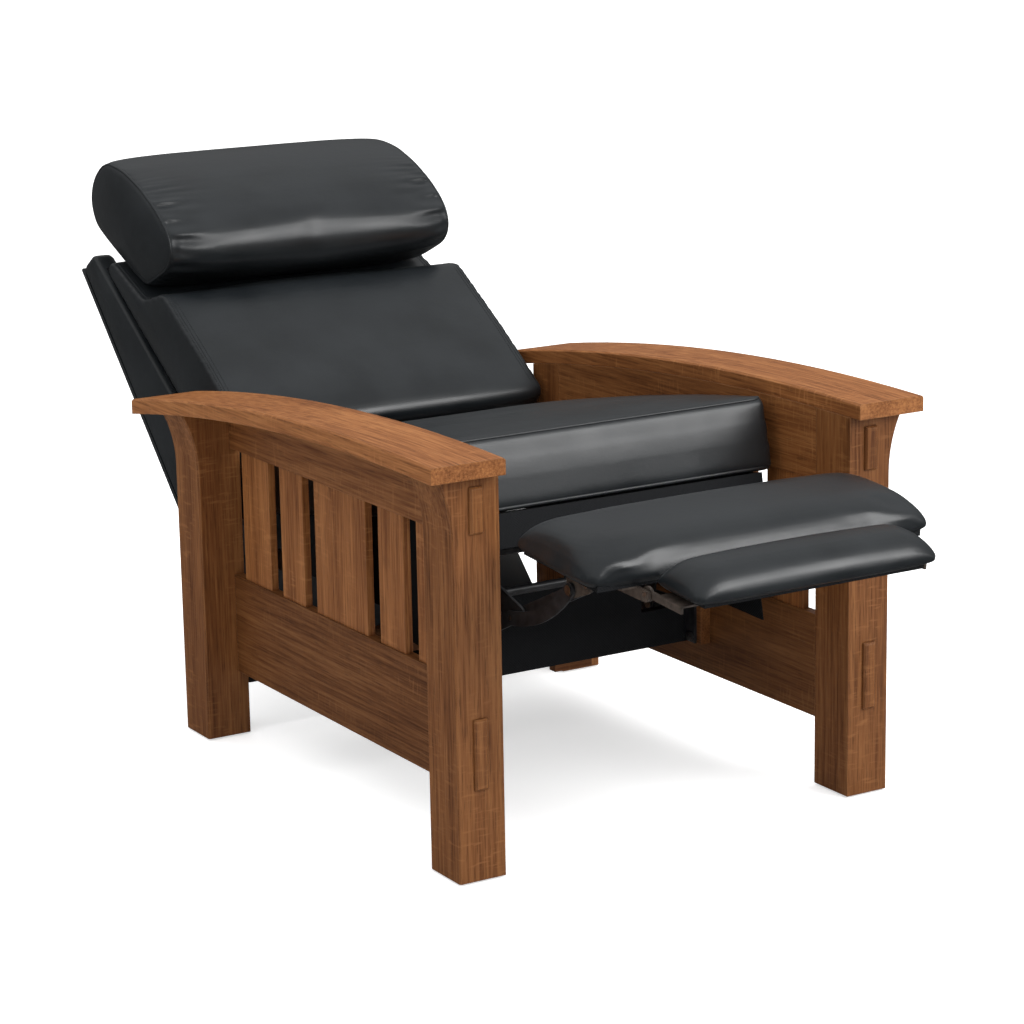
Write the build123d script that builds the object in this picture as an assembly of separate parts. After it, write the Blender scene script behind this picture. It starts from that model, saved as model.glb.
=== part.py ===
from build123d import *
import os
from math import atan2, degrees, sqrt

# Mission reclining armchair, in millimetres. X runs across the chair, Y from front to back, Z up.
# It is drawn leaned right back with its footrest out, as it rests in the photograph.
# Pieces are drawn with Y = 0 at the front faces of the front legs, and are moved at the end so that
# the origin lies on the floor under the middle of the whole chair. Left and right are the sitter's.
# Points of a side view are Vectors that hold a setback (Y) and a height (Z).

# Timber side frames
arm_span = 864.0
arm_width = 121.0
arm_thickness = 24.5
arm_overhang = 23.0
arm_tail = 65.0
arm_crown_height = 632.0
arm_crown_setback = 150.0
arm_bend_radius = 4985.0
arm_easing = 3.0
leg_width = 77.0
leg_depth = 85.0
leg_bevel = 2.5
side_depth = 915.0
arm_inner_step = 1.0
flare_out = 24.0
flare_height = 95.0
rail_thickness = 18.0
lower_rail_bottom = 112.0
lower_rail_height = 166.0
upper_rail_drop = 139.0
tongue_length = 25.0
tongue_thickness = 9.0
tongue_shoulder = 12.0
slat_thickness = 12.0
slat_recess = 3.5
slat_tongue = 8.0
wide_slat = 167.0
narrow_slat = 78.0
slat_gap = 40.0
leg_gap = 36.0
joint_fit = 0.1
glue_line = 0.2

# Tenon ends that show on the front legs, and the glides under all four
tenon_width = 22.0
tenon_proud = 6.0
tenon_bevel = 3.0
tenon_depth = 20.0
lower_tenon_bottom = 141.0
lower_tenon_height = 106.0
upper_tenon_height = 68.0
upper_tenon_drop = 17.0
glide_radius = 13.0
glide_height = 3.0
glide_nail_width = 3.5
glide_nail_length = 14.0

# Base between the side frames
cleat_thickness = 18.0
cleat_lead = 121.7
cleat_tail = 79.0
cleat_bottom = 164.0
cleat_height = 66.0
steel = 4.0
base_plate_inset = 12.0
panel_bolt_gap = 5.0
panel_thickness = 18.0
panel_bottom = 163.0
panel_wing_height = 62.0
panel_height = 137.0
panel_middle_gap = 7.0
base_rail_lead = 165.0
block_start = 33.0
block_width = 70.0
block_height = 11.0
bracket_leg = 32.0
bracket_sheet = 3.0
bolt_radius = 4.0
bolt_head_radius = 8.0
bolt_head_height = 5.0
bolt_length = 14.0
bolt_count = 4

# Swing links that carry the seat on the base
front_tube_setback = 470.0
front_tube_height = 350.0
rear_tube_setback = 740.0
rear_tube_height = 312.0
tube_radius = 8.0
tube_boss_radius = 16.0
front_swing_length = 142.0
front_swing_lean = 99.6
seat_swing_angle = 48.0
seat_tilt_angle = 7.6
link_thickness = 4.0
link_edge = 11.0
swing_edge = 13.0
swing_inset = 14.0
pin_radius = 5.0
pin_fit = 0.05
closing_play = 0.2
stake_radius = 4.5
stake_sides = 6
head_radius = 8.0
head_height = 2.5
head_sides = 12
collar_radius = 9.0

# Seat
seat_front = 160.0
seat_height = 498.0
seat_tilt = 10.4
seat_frame_gap = 49.0
seat_rail_width = 26.0
seat_rail_height = 52.0
seat_frame_length = 640.0
seat_cushion_gap = 17.0
seat_cushion_overhang = 12.0
seat_cushion_thickness = 124.0
seat_crown = 9.0
seat_nose_share = 0.17
seat_draw = 16.0
spring_count = 4
spring_wire = 2.0
spring_turns = 7
spring_swing = 24.0
spring_sink = 7.0
clip_width = 14.0
clip_height = 8.0
clip_length = 8.0
spring_lead = 20.0
flange_width = 28.0
flange_start = 96.0

# Footrest linkage. Layers lie side by side from the guide links outwards to the carriage plates.
carriage_gap = 5.0
layer_gap = 1.0
drive_setback = 320.4
drive_height = 387.8
drive_length = 159.6
drive_lean = 203.3
drive_swing_angle = 114.4
drive_sag = 15.0
long_length = 237.6
long_lean = 154.5
crank_length = 54.4
long_sag = 16.0
lift_reach = 176.1
lift_less_angle = 5.6
drive_tube_share = 0.45
drive_tube_radius = 7.0

# Footrest pads. Their own places are measured forward of and below the main pad's top rear edge.
pad_tilt = 4.3
pad_turn_angle = 78.1
pad_gap = 15.0
pad_length = 225.0
pad_thickness = 36.0
pad_crown = 12.0
pad_nose_share = 0.43
pad_draw = 24.0
pad_sink = 5.0
board_thickness = 11.0
board_inset = 16.0
bracket_pin_forward = 44.8
bracket_pin_drop = 106.3
guide_pin_forward = 81.1
guide_pin_drop = 89.5
guide_angle = 4.0
bracket_start = 26.0
hinge_lead = 4.0
fold_gap = 1.0
flipper_inset = 93.0
flipper_start = 4.0
flipper_length = 115.0
flipper_thickness = 31.0
flipper_turn_angle = 180.0
flipper_drop = 10.0
flipper_arm = 78.0
flipper_arm_height = 11.0

# Back. Its own places are measured from the rear tube, with Z up the back's rear face.
back_lean = 45.0
back_turn_angle = 30.4
back_gap = 11.0
back_rear = 243.0
back_top = 796.0
back_flap = 85.0
back_front_bottom = 66.5
back_front_top = 179.6
back_shoulder = 783.5
back_wedge_bottom = 209.0
back_wedge_tail = 138.6
back_side_thickness = 18.0
back_skin = 7.0
back_rail = 20.0
back_web_thickness = 2.0
back_web_width = 50.0
back_web_count = 4
back_arm_thickness = 6.0
back_arm_knee = 84.0
back_arm_rise = 14.0
back_arm_front = 133.0
back_arm_rear_gap = 32.0
back_arm_edge = 18.5
back_cushion_inset = 5.0
back_seat_gap = 10.0
back_cushion_corner = 566.0
back_cushion_thickness = 134.0
back_cushion_crown = 7.0
back_step = 46.0
back_pad_low = 55.0
back_pad_high = 28.0
back_pad_end = 742.0
pillow_inset = 20.0
pillow_low = 613.0
pillow_height = 301.0
pillow_depth = 252.0
pillow_shrink_share = 0.09
pillow_rest_share = 0.77
pillow_middle_share = (-0.12, 0.48)
soft_gap = 0.5

# How long a stuffed form stays full towards its ends: a boxed cushion for longer than a bolster
boxed_evenness = 6
bolster_evenness = 3

# Where sections are cut through a stuffed form, as shares of the way from its middle to its end
section_shares = (-1, -0.96, -0.8, -0.4, 0.4, 0.8, 0.96, 1)

# Shares of their travel at which linkages are tried
travel_shares = (0, 0.1, 0.2, 0.3, 0.4, 0.5, 0.6, 0.7, 0.8, 0.9, 1)

# One bend of a seat spring, as shares of its length along the wire and of its swing to the side
bend_shares = ((0.15, 0.75), (0.3, 1), (0.7, 1), (0.85, 0.75))

# The pillow's outline above and before the face that it rests on, as shares of its depth and height
pillow_shares = (
    (0.31, 0.93),
    (0.06, 1),
    (-0.09, 0.98),
    (-0.22, 0.91),
    (-0.53, 0.48),
    (-0.63, 0.07),
    (-0.61, 0.02),
    (-0.56, 0),
)

# Clearance that lets every cut run past what it cuts
overrun = 30.0

# Values worked out from the sizes above
arm_outer = arm_span / 2
arm_inner = arm_outer - arm_width
leg_inner = arm_inner - arm_inner_step
leg_outer = leg_inner + leg_width
rail_outer = leg_inner + rail_thickness
lower_rail_top = lower_rail_bottom + lower_rail_height
upper_rail_bottom = arm_crown_height - upper_rail_drop
rail_front = leg_depth
rail_rear = side_depth - leg_depth
cleat_inner = leg_inner - cleat_thickness
base_inner = cleat_inner - steel
seat_frame_half = arm_inner - seat_frame_gap
seat_rail_inner = seat_frame_half - seat_rail_width
seat_cushion_half = arm_inner - seat_cushion_gap
seat_cushion_length = seat_frame_length + seat_cushion_overhang
layer_pitch = link_thickness + layer_gap
carriage_outer = seat_rail_inner - carriage_gap
carriage_layer = carriage_outer - steel
drive_layer = carriage_layer - layer_pitch
long_layer = drive_layer - layer_pitch
lift_layer = long_layer - layer_pitch
guide_layer = lift_layer - layer_pitch
swing_layer = base_inner - swing_inset - link_thickness
panel_middle_half = guide_layer - panel_middle_gap
pad_half = arm_inner - pad_gap
flipper_half = pad_half - flipper_inset
back_half = arm_inner - back_gap
back_arm_layer = back_half - back_side_thickness - back_arm_thickness
back_cushion_half = back_half - back_cushion_inset
pillow_half = back_half - pillow_inset


def at(setback, height):
    """A place in the side view."""
    return Vector(setback, height)


def polar(length, angle):
    """A step of a length at an angle, counted from straight back and turning up."""
    return Vector(length, 0).rotate(Axis.Z, angle)


def turned(place, centre, angle):
    """A place in the side view, turned about a centre."""
    return centre + (place - centre).rotate(Axis.Z, angle)


def side_plate(view, inner, thickness):
    """A side view made solid, from one X outwards by a thickness."""
    return extrude(Plane.YZ.offset(inner) * view, thickness, dir=(1, 0, 0))


def front_plate(view, front, thickness):
    """A front view made solid, from one setback backwards by a thickness."""
    return extrude(Plane.XZ.offset(-front) * view, thickness, dir=(0, 1, 0))


def disc(place, radius):
    return Pos(place.X, place.Y) * Circle(radius)


def rod(place, radius, start, end):
    """A round bar across the chair."""
    return side_plate(disc(place, radius), start, end - start)


def prism(place, radius, sides, start, end):
    """A many-sided bar across the chair: bolts, heads, collars and ends that mustn't turn."""
    view = Pos(place.X, place.Y) * RegularPolygon(radius, sides)
    return side_plate(view, start, end - start)


def head(place, start, height):
    """A pin's low head, outwards from a plate's face, or inwards where the height is negative."""
    return prism(place, head_radius, head_sides, start, start + height)


def stake(place, start, end):
    """The end of a pin that is set in its plate."""
    return prism(place, stake_radius, stake_sides, start, end)


def bar(first, second, radius):
    """A flat link's straight outline with round ends."""
    return SlotArc(Line(first, second), 2 * radius)


def bowed_bar(first, second, sag, radius):
    """A flat link's outline that sags below the line between its ends."""
    middle = (first + second) / 2
    across = (second - first).rotate(Axis.Z, 90).normalized()
    return SlotArc(ThreePointArc(first, middle + across * sag, second), 2 * radius)


def block(x, y, z):
    """A box between two limits each way."""
    corner = Pos(x[0], y[0], z[0])
    return corner * Box(x[1] - x[0], y[1] - y[0], z[1] - z[0], align=Align.MIN)


def pair(part):
    """A piece and its mirror image on the other side of the chair."""
    return Part() + [part, mirror(part, about=Plane.YZ)]


def left_and_right(name, part):
    """Two nodes, for the sitter's left (+X) and right (-X)."""
    return {name + "_left": part, name + "_right": mirror(part, about=Plane.YZ)}


# Timber side frames

def arm_line(setback, depth):
    """Height of the curve that runs at a depth under the arm's bent top."""
    radius = arm_bend_radius - depth
    centre_height = arm_crown_height - arm_bend_radius
    return centre_height + sqrt(radius**2 - (setback - arm_crown_setback)**2)


def arm_curve(front, rear, depth):
    middle = (front + rear) / 2
    places = [at(y, arm_line(y, depth)) for y in (front, middle, rear)]
    return ThreePointArc(*places)


def room_under_arm():
    """Everything below the arm board, to trim what stands under it."""
    curve = arm_curve(-overrun, side_depth + overrun, arm_thickness + glue_line)
    low_front = at(-overrun, 0)
    low_rear = at(side_depth + overrun, 0)
    edges = [curve, Line(curve @ 1, low_rear), Line(low_rear, low_front), Line(low_front, curve @ 0)]
    return side_plate(make_face(edges), leg_inner - overrun, leg_width + flare_out + 2 * overrun)


def arm_board():
    front = -arm_overhang
    rear = side_depth + arm_tail
    top = arm_curve(front, rear, 0)
    under = arm_curve(front, rear, arm_thickness)
    face = make_face([top, Line(top @ 1, under @ 1), under, Line(under @ 0, top @ 0)])
    board = side_plate(face, arm_inner, arm_width)
    upper = board.faces().filter_by(GeomType.CYLINDER).sort_by(Axis.Z)[-1]
    return chamfer(upper.edges().filter_by(GeomType.CIRCLE), arm_easing)


def mortise(x, y, z):
    """A pocket with the joint's fit added on every side."""
    grown = [(low - joint_fit, high + joint_fit) for low, high in (x, y, z)]
    return block(*grown)


def tongue_span():
    middle = leg_inner + rail_thickness / 2
    return (middle - tongue_thickness / 2, middle + tongue_thickness / 2)


def rail_tongue(front, rear, bottom, top):
    return (tongue_span(), (front, rear), (bottom + tongue_shoulder, top - tongue_shoulder))


def rail_tongues(bottom, front_top, rear_top):
    """Limits of a rail's two tongues: one in the front leg and one in the rear leg."""
    first = rail_tongue(rail_front - tongue_length, rail_front, bottom, front_top)
    second = rail_tongue(rail_rear, rail_rear + tongue_length, bottom, rear_top)
    return [first, second]


def lower_tongues():
    return rail_tongues(lower_rail_bottom, lower_rail_top, lower_rail_top)


def upper_tongues():
    front_top = arm_line(rail_front, arm_thickness)
    rear_top = arm_line(rail_rear + tongue_length, arm_thickness)
    return rail_tongues(upper_rail_bottom, front_top, rear_top)


def slat_spans():
    """Setbacks of the five slats' front and rear edges. The outer two fill what the rest leave."""
    free = rail_rear - rail_front - wide_slat - 2 * narrow_slat - 4 * slat_gap - 2 * leg_gap
    spans = []
    front = rail_front + leg_gap
    for width in (free / 2, narrow_slat, wide_slat, narrow_slat, free / 2):
        spans.append((front, front + width))
        front += width + slat_gap
    return spans


def slat_limits(span):
    outer = rail_outer - slat_recess
    heights = (lower_rail_top - slat_tongue, upper_rail_bottom + slat_tongue)
    return ((outer - slat_thickness, outer), span, heights)


def slat(span):
    return block(*slat_limits(span))


def side_rail(bottom, top, tongues):
    rail = block((leg_inner, rail_outer), (rail_front, rail_rear), (bottom, top))
    rail += [block(*limits) for limits in tongues]
    rail -= [mortise(*slat_limits(span)) for span in slat_spans()]
    return rail


def tenon_limits():
    """Limits of the two tenon ends on a front leg, lower one first."""
    middle = (leg_inner + leg_outer) / 2
    across = (middle - tenon_width / 2, middle + tenon_width / 2)
    along = (-tenon_proud, tenon_depth)
    upper_top = arm_line(0, arm_thickness) - upper_tenon_drop
    lower = (lower_tenon_bottom, lower_tenon_bottom + lower_tenon_height)
    upper = (upper_top - upper_tenon_height, upper_top)
    return [(across, along, lower), (across, along, upper)]


def tenon_end(limits):
    end = block(*limits)
    return chamfer(end.faces().sort_by(Axis.Y)[0].edges(), tenon_bevel)


def leg(front):
    """A square post that flares outwards under the arm, with the pockets for its joints."""
    under = arm_line(front + leg_depth / 2, arm_thickness)
    flare_start = under - flare_height
    radius = (flare_height**2 + flare_out**2) / (2 * flare_out)
    flare = TangentArc((leg_outer, flare_start), (leg_outer + flare_out, under), tangent=(0, 1))
    top = arm_crown_height
    outline = [
        Line((leg_inner, glide_height), (leg_outer, glide_height)),
        Line((leg_outer, glide_height), (leg_outer, flare_start)),
        flare,
        Line(flare @ 1, (leg_outer + flare_out, top)),
        Line((leg_outer + flare_out, top), (leg_inner, top)),
        Line((leg_inner, top), (leg_inner, glide_height)),
    ]
    post = front_plate(make_face(outline), front, leg_depth)
    post = chamfer(post.edges().filter_by(Axis.Z).filter_by_position(Axis.Z, 0, under / 2), leg_bevel)
    post &= room_under_arm()
    post -= [mortise(*limits) for limits in lower_tongues() + upper_tongues()]
    post -= [mortise(*limits) for limits in tenon_limits()]
    return post - Pos(*glide_place(front)) * glide_nail(joint_fit)


def glide_place(front):
    return ((leg_inner + leg_outer) / 2, front + leg_depth / 2, glide_height)


def glide_nail(fit):
    """A square nail up from its glide, or the hole for it where a fit is added."""
    width = glide_nail_width + 2 * fit
    return Box(width, width, glide_nail_length + fit, align=(Align.CENTER, Align.CENTER, Align.MIN))


def glide(front):
    """A nail-on glide: a low disc with its nail up the leg."""
    foot = Cylinder(glide_radius, glide_height, align=(Align.CENTER, Align.CENTER, Align.MAX))
    return Pos(*glide_place(front)) * (foot + glide_nail(0))


def side_frames():
    rear_leg_front = side_depth - leg_depth
    room = room_under_arm()
    spans = slat_spans()
    lower = side_rail(lower_rail_bottom, lower_rail_top, lower_tongues())
    upper = side_rail(upper_rail_bottom, arm_crown_height, upper_tongues()) & room
    narrow = Part() + [slat(span) for span in spans[:2] + spans[3:]]
    nodes = {}
    nodes |= left_and_right("front_leg", leg(0))
    nodes |= left_and_right("rear_leg", leg(rear_leg_front))
    nodes |= left_and_right("lower_side_rail", lower)
    nodes |= left_and_right("upper_side_rail", upper)
    nodes |= left_and_right("narrow_slats", narrow)
    nodes |= left_and_right("wide_slat", slat(spans[2]))
    nodes |= left_and_right("arm_board", arm_board())
    nodes["tenon_ends"] = pair(Part() + [tenon_end(limits) for limits in tenon_limits()])
    nodes["leg_glides"] = pair(Part() + [glide(front) for front in (0, rear_leg_front)])
    return nodes


# Swing pivots: the seat rides on two pairs of links, like a parallelogram that also tips the seat

front_tube_place = at(front_tube_setback, front_tube_height)
rear_tube_place = at(rear_tube_setback, rear_tube_height)
front_base = front_tube_place - polar(front_swing_length, front_swing_lean)


def seat_moved(place, share):
    """Where a place on the seat goes when the seat has come a share of its way upright."""
    tube = turned(front_tube_place, front_base, share * seat_swing_angle)
    return tube + (place - front_tube_place).rotate(Axis.Z, share * seat_tilt_angle)


def circle_centre(first, second, third):
    """Centre of the circle through three places."""
    a, b = second - first, third - first
    cross = 2 * (a.X * b.Y - a.Y * b.X)
    a_square, b_square = a.length**2, b.length**2
    step = Vector(b.Y * a_square - a.Y * b_square, a.X * b_square - b.X * a_square)
    return first + step / cross


rear_base = circle_centre(*[seat_moved(rear_tube_place, share) for share in (0, 0.5, 1)])


def turn_between(first, second):
    """The angle from one direction of the side view to another."""
    return degrees(atan2(second.Y, second.X) - atan2(first.Y, first.X))


rear_swing = turn_between(rear_tube_place - rear_base, seat_moved(rear_tube_place, 1) - rear_base)


# Base: cleats, steel plates and the boards that tie the two sides together

cleat_front = front_base.X - cleat_lead
cleat_rear = rear_base.X + cleat_tail
cleat_top = cleat_bottom + cleat_height
base_plate_front = cleat_front + base_plate_inset
base_plate_rear = cleat_rear - base_plate_inset
panel_front = base_plate_front + base_plate_inset + bolt_head_radius + panel_bolt_gap
panel_rear = panel_front + panel_thickness
base_rail_front = rear_base.X - base_rail_lead
base_rail_rear = base_rail_front + panel_thickness
bolt_line = cleat_bottom + bolt_head_radius + 2 * layer_gap


def bolt_places():
    """Where bolts go through a base plate into its cleat, low enough to pass under the corner brackets."""
    first = base_plate_front + base_plate_inset
    last = base_plate_rear - base_plate_inset
    pitch = (last - first) / (bolt_count - 1)
    return [at(first + number * pitch, bolt_line) for number in range(bolt_count)]


def base_plate():
    height = (cleat_bottom, cleat_top)
    plate = block((base_inner, cleat_inner), (base_plate_front, base_plate_rear), height)
    plate -= [bolt_shank(place, bolt_radius + joint_fit, overrun) for place in bolt_places()]
    studs = (front_base, rear_base)
    return plate - [stake(place, base_inner - overrun, cleat_inner + overrun) for place in studs]


def cleat():
    board = block((cleat_inner, leg_inner), (cleat_front, cleat_rear), (cleat_bottom, cleat_top))
    return board - [bolt_shank(place, bolt_radius + joint_fit, joint_fit) for place in bolt_places()]


def bolt_shank(place, radius, clearance):
    """A bolt's shank through the base plate, or the hole for it where a clearance is added."""
    return prism(place, radius, stake_sides, base_inner - clearance, cleat_inner + bolt_length + clearance)


def base_bolt(place):
    bolt_head = prism(place, bolt_head_radius, stake_sides, base_inner - bolt_head_height, base_inner)
    return bolt_head + bolt_shank(place, bolt_radius, 0)


def base_stud(place):
    """A shouldered stud on the base plate, which a swing link turns on."""
    start = swing_layer - joint_fit
    collar_start = swing_layer + link_thickness + layer_gap
    stud = rod(place, pin_radius, start, collar_start) + head(place, start, -head_height)
    stud += prism(place, collar_radius, head_sides, collar_start, base_inner)
    return stud + stake(place, base_inner, cleat_inner)


def front_panel():
    """The black board across the front of the base, taller between the linkages."""
    wing = panel_bottom + panel_wing_height
    top = panel_bottom + panel_height
    half = [
        (base_inner, panel_bottom),
        (base_inner, wing),
        (panel_middle_half, wing),
        (panel_middle_half, top),
    ]
    points = half + [(-x, z) for x, z in reversed(half)]
    return front_plate(Polygon(*points, align=None), panel_front, panel_thickness)


def corner_bracket(rear):
    """A bent angle in the corner between a base plate and the back of a cross board."""
    inner = base_inner - bracket_leg
    height = (bolt_line + bolt_head_radius + layer_gap, cleat_top - tongue_shoulder)
    along = block((base_inner - bracket_sheet, base_inner), (rear, rear + bracket_leg), height)
    return along + block((inner, base_inner), (rear, rear + bracket_sheet), height)


def base():
    rail = block((-base_inner, base_inner), (base_rail_front, base_rail_rear), (cleat_bottom, cleat_top))
    under = block((block_start, block_start + block_width), (panel_front, panel_rear),
                  (panel_bottom - block_height, panel_bottom))
    return {
        "base_cleats": pair(cleat()),
        "base_plates": pair(base_plate()),
        "base_bolts": pair(Part() + [base_bolt(place) for place in bolt_places()]),
        "base_studs": pair(Part() + [base_stud(place) for place in (front_base, rear_base)]),
        "base_front_panel": front_panel(),
        "base_rear_rail": rail,
        "base_panel_block": under,
        "corner_brackets": pair(Part() + [corner_bracket(rear) for rear in (panel_rear, base_rail_rear)]),
    }


# Swing links

def rear_swing_miss():
    """Most that the rear tube leaves the rear links' holes while both keep their steady shares."""
    most = 0
    for share in travel_shares:
        link_end = turned(rear_tube_place, rear_base, share * rear_swing)
        most = max(most, (seat_moved(rear_tube_place, share) - link_end).length)
    return most


def link(view, layer, holes, stakes):
    """A flat steel link with round holes, given as places and radii, and pins staked in at places."""
    plate = side_plate(view, layer, link_thickness)
    plate -= [rod(place, radius, layer - overrun, layer + overrun) for place, radius in holes]
    return plate - [stake(place, layer - overrun, layer + overrun) for place in stakes]


def swing_links():
    fit = pin_radius + pin_fit
    front = link(bar(front_base, front_tube_place, swing_edge), swing_layer,
                 [(front_base, fit), (front_tube_place, fit)], [])
    rear = link(bar(rear_base, rear_tube_place, swing_edge), swing_layer,
                [(rear_base, fit), (rear_tube_place, pin_radius + rear_swing_play)], [])
    return {"front_swing_links": pair(front), "rear_swing_links": pair(rear)}


rear_swing_play = closing_play + rear_swing_miss()


# Seat: a box frame on two cross tubes and two carriage plates, with springs and a cushion

seat_place = Pos(0, seat_front, seat_height) * Rot(-seat_tilt, 0, 0)
drive_place = at(drive_setback, drive_height)
crank = polar(crank_length, long_lean)
lift_place = drive_place + crank


def carriage_plate():
    """A plate under the seat rail that holds the tubes and the footrest's fixed pins."""
    front = make_hull(disc(lift_place, link_edge).edges() + disc(drive_place, swing_edge).edges()
                      + disc(front_tube_place, tube_boss_radius).edges())
    rear = bar(front_tube_place, rear_tube_place, tube_boss_radius)
    plate = side_plate(front + rear, carriage_layer, steel)
    rail = seat_place * block((carriage_layer, carriage_outer), (flange_start, seat_frame_length),
                              (-seat_rail_height - 2 * link_edge, -seat_rail_height))
    flange = seat_place * block((carriage_layer, carriage_layer + flange_width),
                                (flange_start, seat_frame_length),
                                (-seat_rail_height - bracket_sheet, -seat_rail_height))
    above = seat_place * block((0, arm_outer), (-overrun, side_depth), (-seat_rail_height, seat_height))
    plate = plate + rail - above + flange
    tubes = (front_tube_place, rear_tube_place)
    plate -= [prism(place, tube_radius, stake_sides, 0, arm_outer) for place in tubes]
    return plate - [stake(place, 0, arm_outer) for place in (drive_place, lift_place)]


def cross_tube(place, pin_end):
    """A round bar between the carriage plates, six-sided through them, with pins for the swing links."""
    half = swing_layer - joint_fit
    middle = rod(place, tube_radius, -carriage_layer, carriage_layer)
    ends = prism(place, tube_radius, stake_sides, -half, half)
    return middle + ends + rod(place, pin_radius, -pin_end, pin_end)


def fixed_pin(place, layer):
    """A pin staked into the carriage plate, with a collar that bridges the layers between."""
    collar_start = layer + link_thickness + layer_gap / 2
    pin = rod(place, pin_radius, layer, collar_start)
    pin += prism(place, head_radius, head_sides, collar_start, carriage_layer)
    return pin + stake(place, carriage_layer, carriage_outer) + head(place, carriage_outer, head_height)


def bends(across, length):
    """A sinuous spring's path: even turns from the front rail to the rear one, with straight ends."""
    step = (length - 2 * spring_lead) / spring_turns
    points = [(across, 0), (across, spring_lead)]
    for turn in range(spring_turns):
        side = spring_swing if turn % 2 else -spring_swing
        start = spring_lead + turn * step
        for along_share, side_share in bend_shares:
            points.append((across + side_share * side, start + along_share * step))
    return Polyline(*points, (across, length - spring_lead), (across, length))


def spring_places():
    pitch = 2 * seat_rail_inner / spring_count
    return [(number + 0.5) * pitch - seat_rail_inner for number in range(spring_count)]


def seat_springs():
    """Sinuous wires from rail to rail, clear of each other and just under the cushion."""
    length = seat_frame_length - 2 * seat_rail_width
    wires = []
    for across in spring_places():
        path = bends(across, length)
        section = Plane(path @ 0, z_dir=path % 0) * RegularPolygon(spring_wire, stake_sides)
        wires.append(sweep(section, path=path, transition=Transition.RIGHT))
    return seat_place * (Pos(0, seat_rail_width, -spring_sink) * (Part() + wires))


def spring_clips():
    """A clip round each end of each wire, on the inner face of its rail."""
    rear = seat_frame_length - seat_rail_width
    clips = []
    for across in spring_places():
        for front in (seat_rail_width, rear - clip_length):
            middle = Pos(across, front, -spring_sink)
            ends = (Align.CENTER, Align.MIN, Align.CENTER)
            groove = 2 * (spring_wire + joint_fit)
            clip = Box(clip_width, clip_length, clip_height, align=ends)
            clips.append(middle * (clip - Box(groove, clip_length, groove, align=ends)))
    return seat_place * (Part() + clips)


def padded_view(front, rear, bottom, top, nose_share, crown):
    """A pad's side view: flat below, rounded at both ends, crowned on top."""
    middle = (bottom + top) / 2
    nose = nose_share * (top - bottom)
    low = Line((front + nose, bottom), (rear - nose, bottom))
    back = ThreePointArc((rear - nose, bottom), (rear, middle), (rear - nose, top))
    upper = ThreePointArc((rear - nose, top), ((front + rear) / 2, top + crown), (front + nose, top))
    fore = ThreePointArc((front + nose, top), (front, middle), (front + nose, bottom))
    return make_face([low, back, upper, fore])


def stuffed(half, view, evenness):
    """A stuffed form. view(fullness) draws it: 1 in the middle, 0 where its ends are drawn in."""
    sections = []
    for share in section_shares:
        fullness = sqrt(1 - abs(share)**evenness)
        sections.append(Plane.YZ.offset(share * half) * view(fullness))
    return loft(sections, ruled=True)


def pad_form(half, span, heights, nose_share, crown, draw):
    """A pad whose ends are drawn in below its crowned middle."""
    front, rear = span
    bottom, top = heights

    def view(fullness):
        inset = draw * (1 - fullness)
        bulge = crown * (1 + fullness) / 2
        return padded_view(front + inset, rear - inset, bottom, top - inset / 2, nose_share, bulge)

    return stuffed(half, view, boxed_evenness)


def seat():
    inner = seat_rail_inner
    depth = (-seat_rail_height, 0)
    rear_start = seat_frame_length - seat_rail_width
    side = block((inner, seat_frame_half), (0, seat_frame_length), depth)
    front = block((-inner, inner), (0, seat_rail_width), depth)
    rear = block((-inner, inner), (rear_start, seat_frame_length), depth)
    cushion = pad_form(seat_cushion_half, (0, seat_cushion_length), (soft_gap, seat_cushion_thickness),
                       seat_nose_share, seat_crown, seat_draw)
    pins = fixed_pin(drive_place, drive_layer) + fixed_pin(lift_place, lift_layer)
    return {
        "seat_side_rails": pair(seat_place * side),
        "seat_front_rail": seat_place * front,
        "seat_rear_rail": seat_place * rear,
        "seat_springs": seat_springs(),
        "spring_clips": spring_clips(),
        "seat_cushion": seat_place * cushion,
        "carriage_plates": pair(carriage_plate()),
        "carriage_front_tube": cross_tube(front_tube_place, swing_layer + link_thickness + layer_gap),
        "carriage_rear_tube": cross_tube(rear_tube_place, back_arm_layer + back_arm_thickness),
        "carriage_pins": pair(pins),
    }


# Footrest linkage: drive and lift links swing together and carry the long link without turning it

knee_place = drive_place + polar(drive_length, drive_lean)
cross_place = knee_place + crank
bracket_pin = knee_place + polar(long_length, long_lean)
guide_start = lift_place + polar(lift_reach, drive_lean - lift_less_angle)
pad_origin = bracket_pin - at(-bracket_pin_forward, -bracket_pin_drop).rotate(Axis.Z, pad_tilt)


# The hinge lies so low that the outer pad's brackets fit between the two boards when it folds under
board_top = pad_sink + pad_thickness
board_bottom = board_top + board_thickness
flipper_bottom = flipper_drop + flipper_thickness + board_thickness
hinge_drop = (board_bottom + flipper_bottom + flipper_arm_height + fold_gap) / 2
hinge_forward = pad_length + hinge_lead


def on_pad(forward, drop):
    """A place beside the pads, measured forward of and below the main pad's top rear edge."""
    return pad_origin + at(-forward, -drop).rotate(Axis.Z, pad_tilt)


guide_end = on_pad(guide_pin_forward, guide_pin_drop)
flipper_hinge = on_pad(hinge_forward, hinge_drop)


def guide_moved(share):
    """Where the guide links' two pins are when the footrest has closed by a share."""
    swing = share * drive_swing_angle
    moved_pin = bracket_pin + polar(drive_length, drive_lean + swing) - polar(drive_length, drive_lean)
    end = moved_pin + (guide_end - bracket_pin).rotate(Axis.Z, share * pad_turn_angle)
    return turned(guide_start, lift_place, swing), end


def guide_miss():
    """Most that the pads' pins leave the guide links' holes while all keep their steady shares."""
    most = 0
    for share in travel_shares:
        start, end = guide_moved(share)
        link_end = start + (guide_end - guide_start).rotate(Axis.Z, share * guide_angle)
        most = max(most, (link_end - end).length)
    return most


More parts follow.
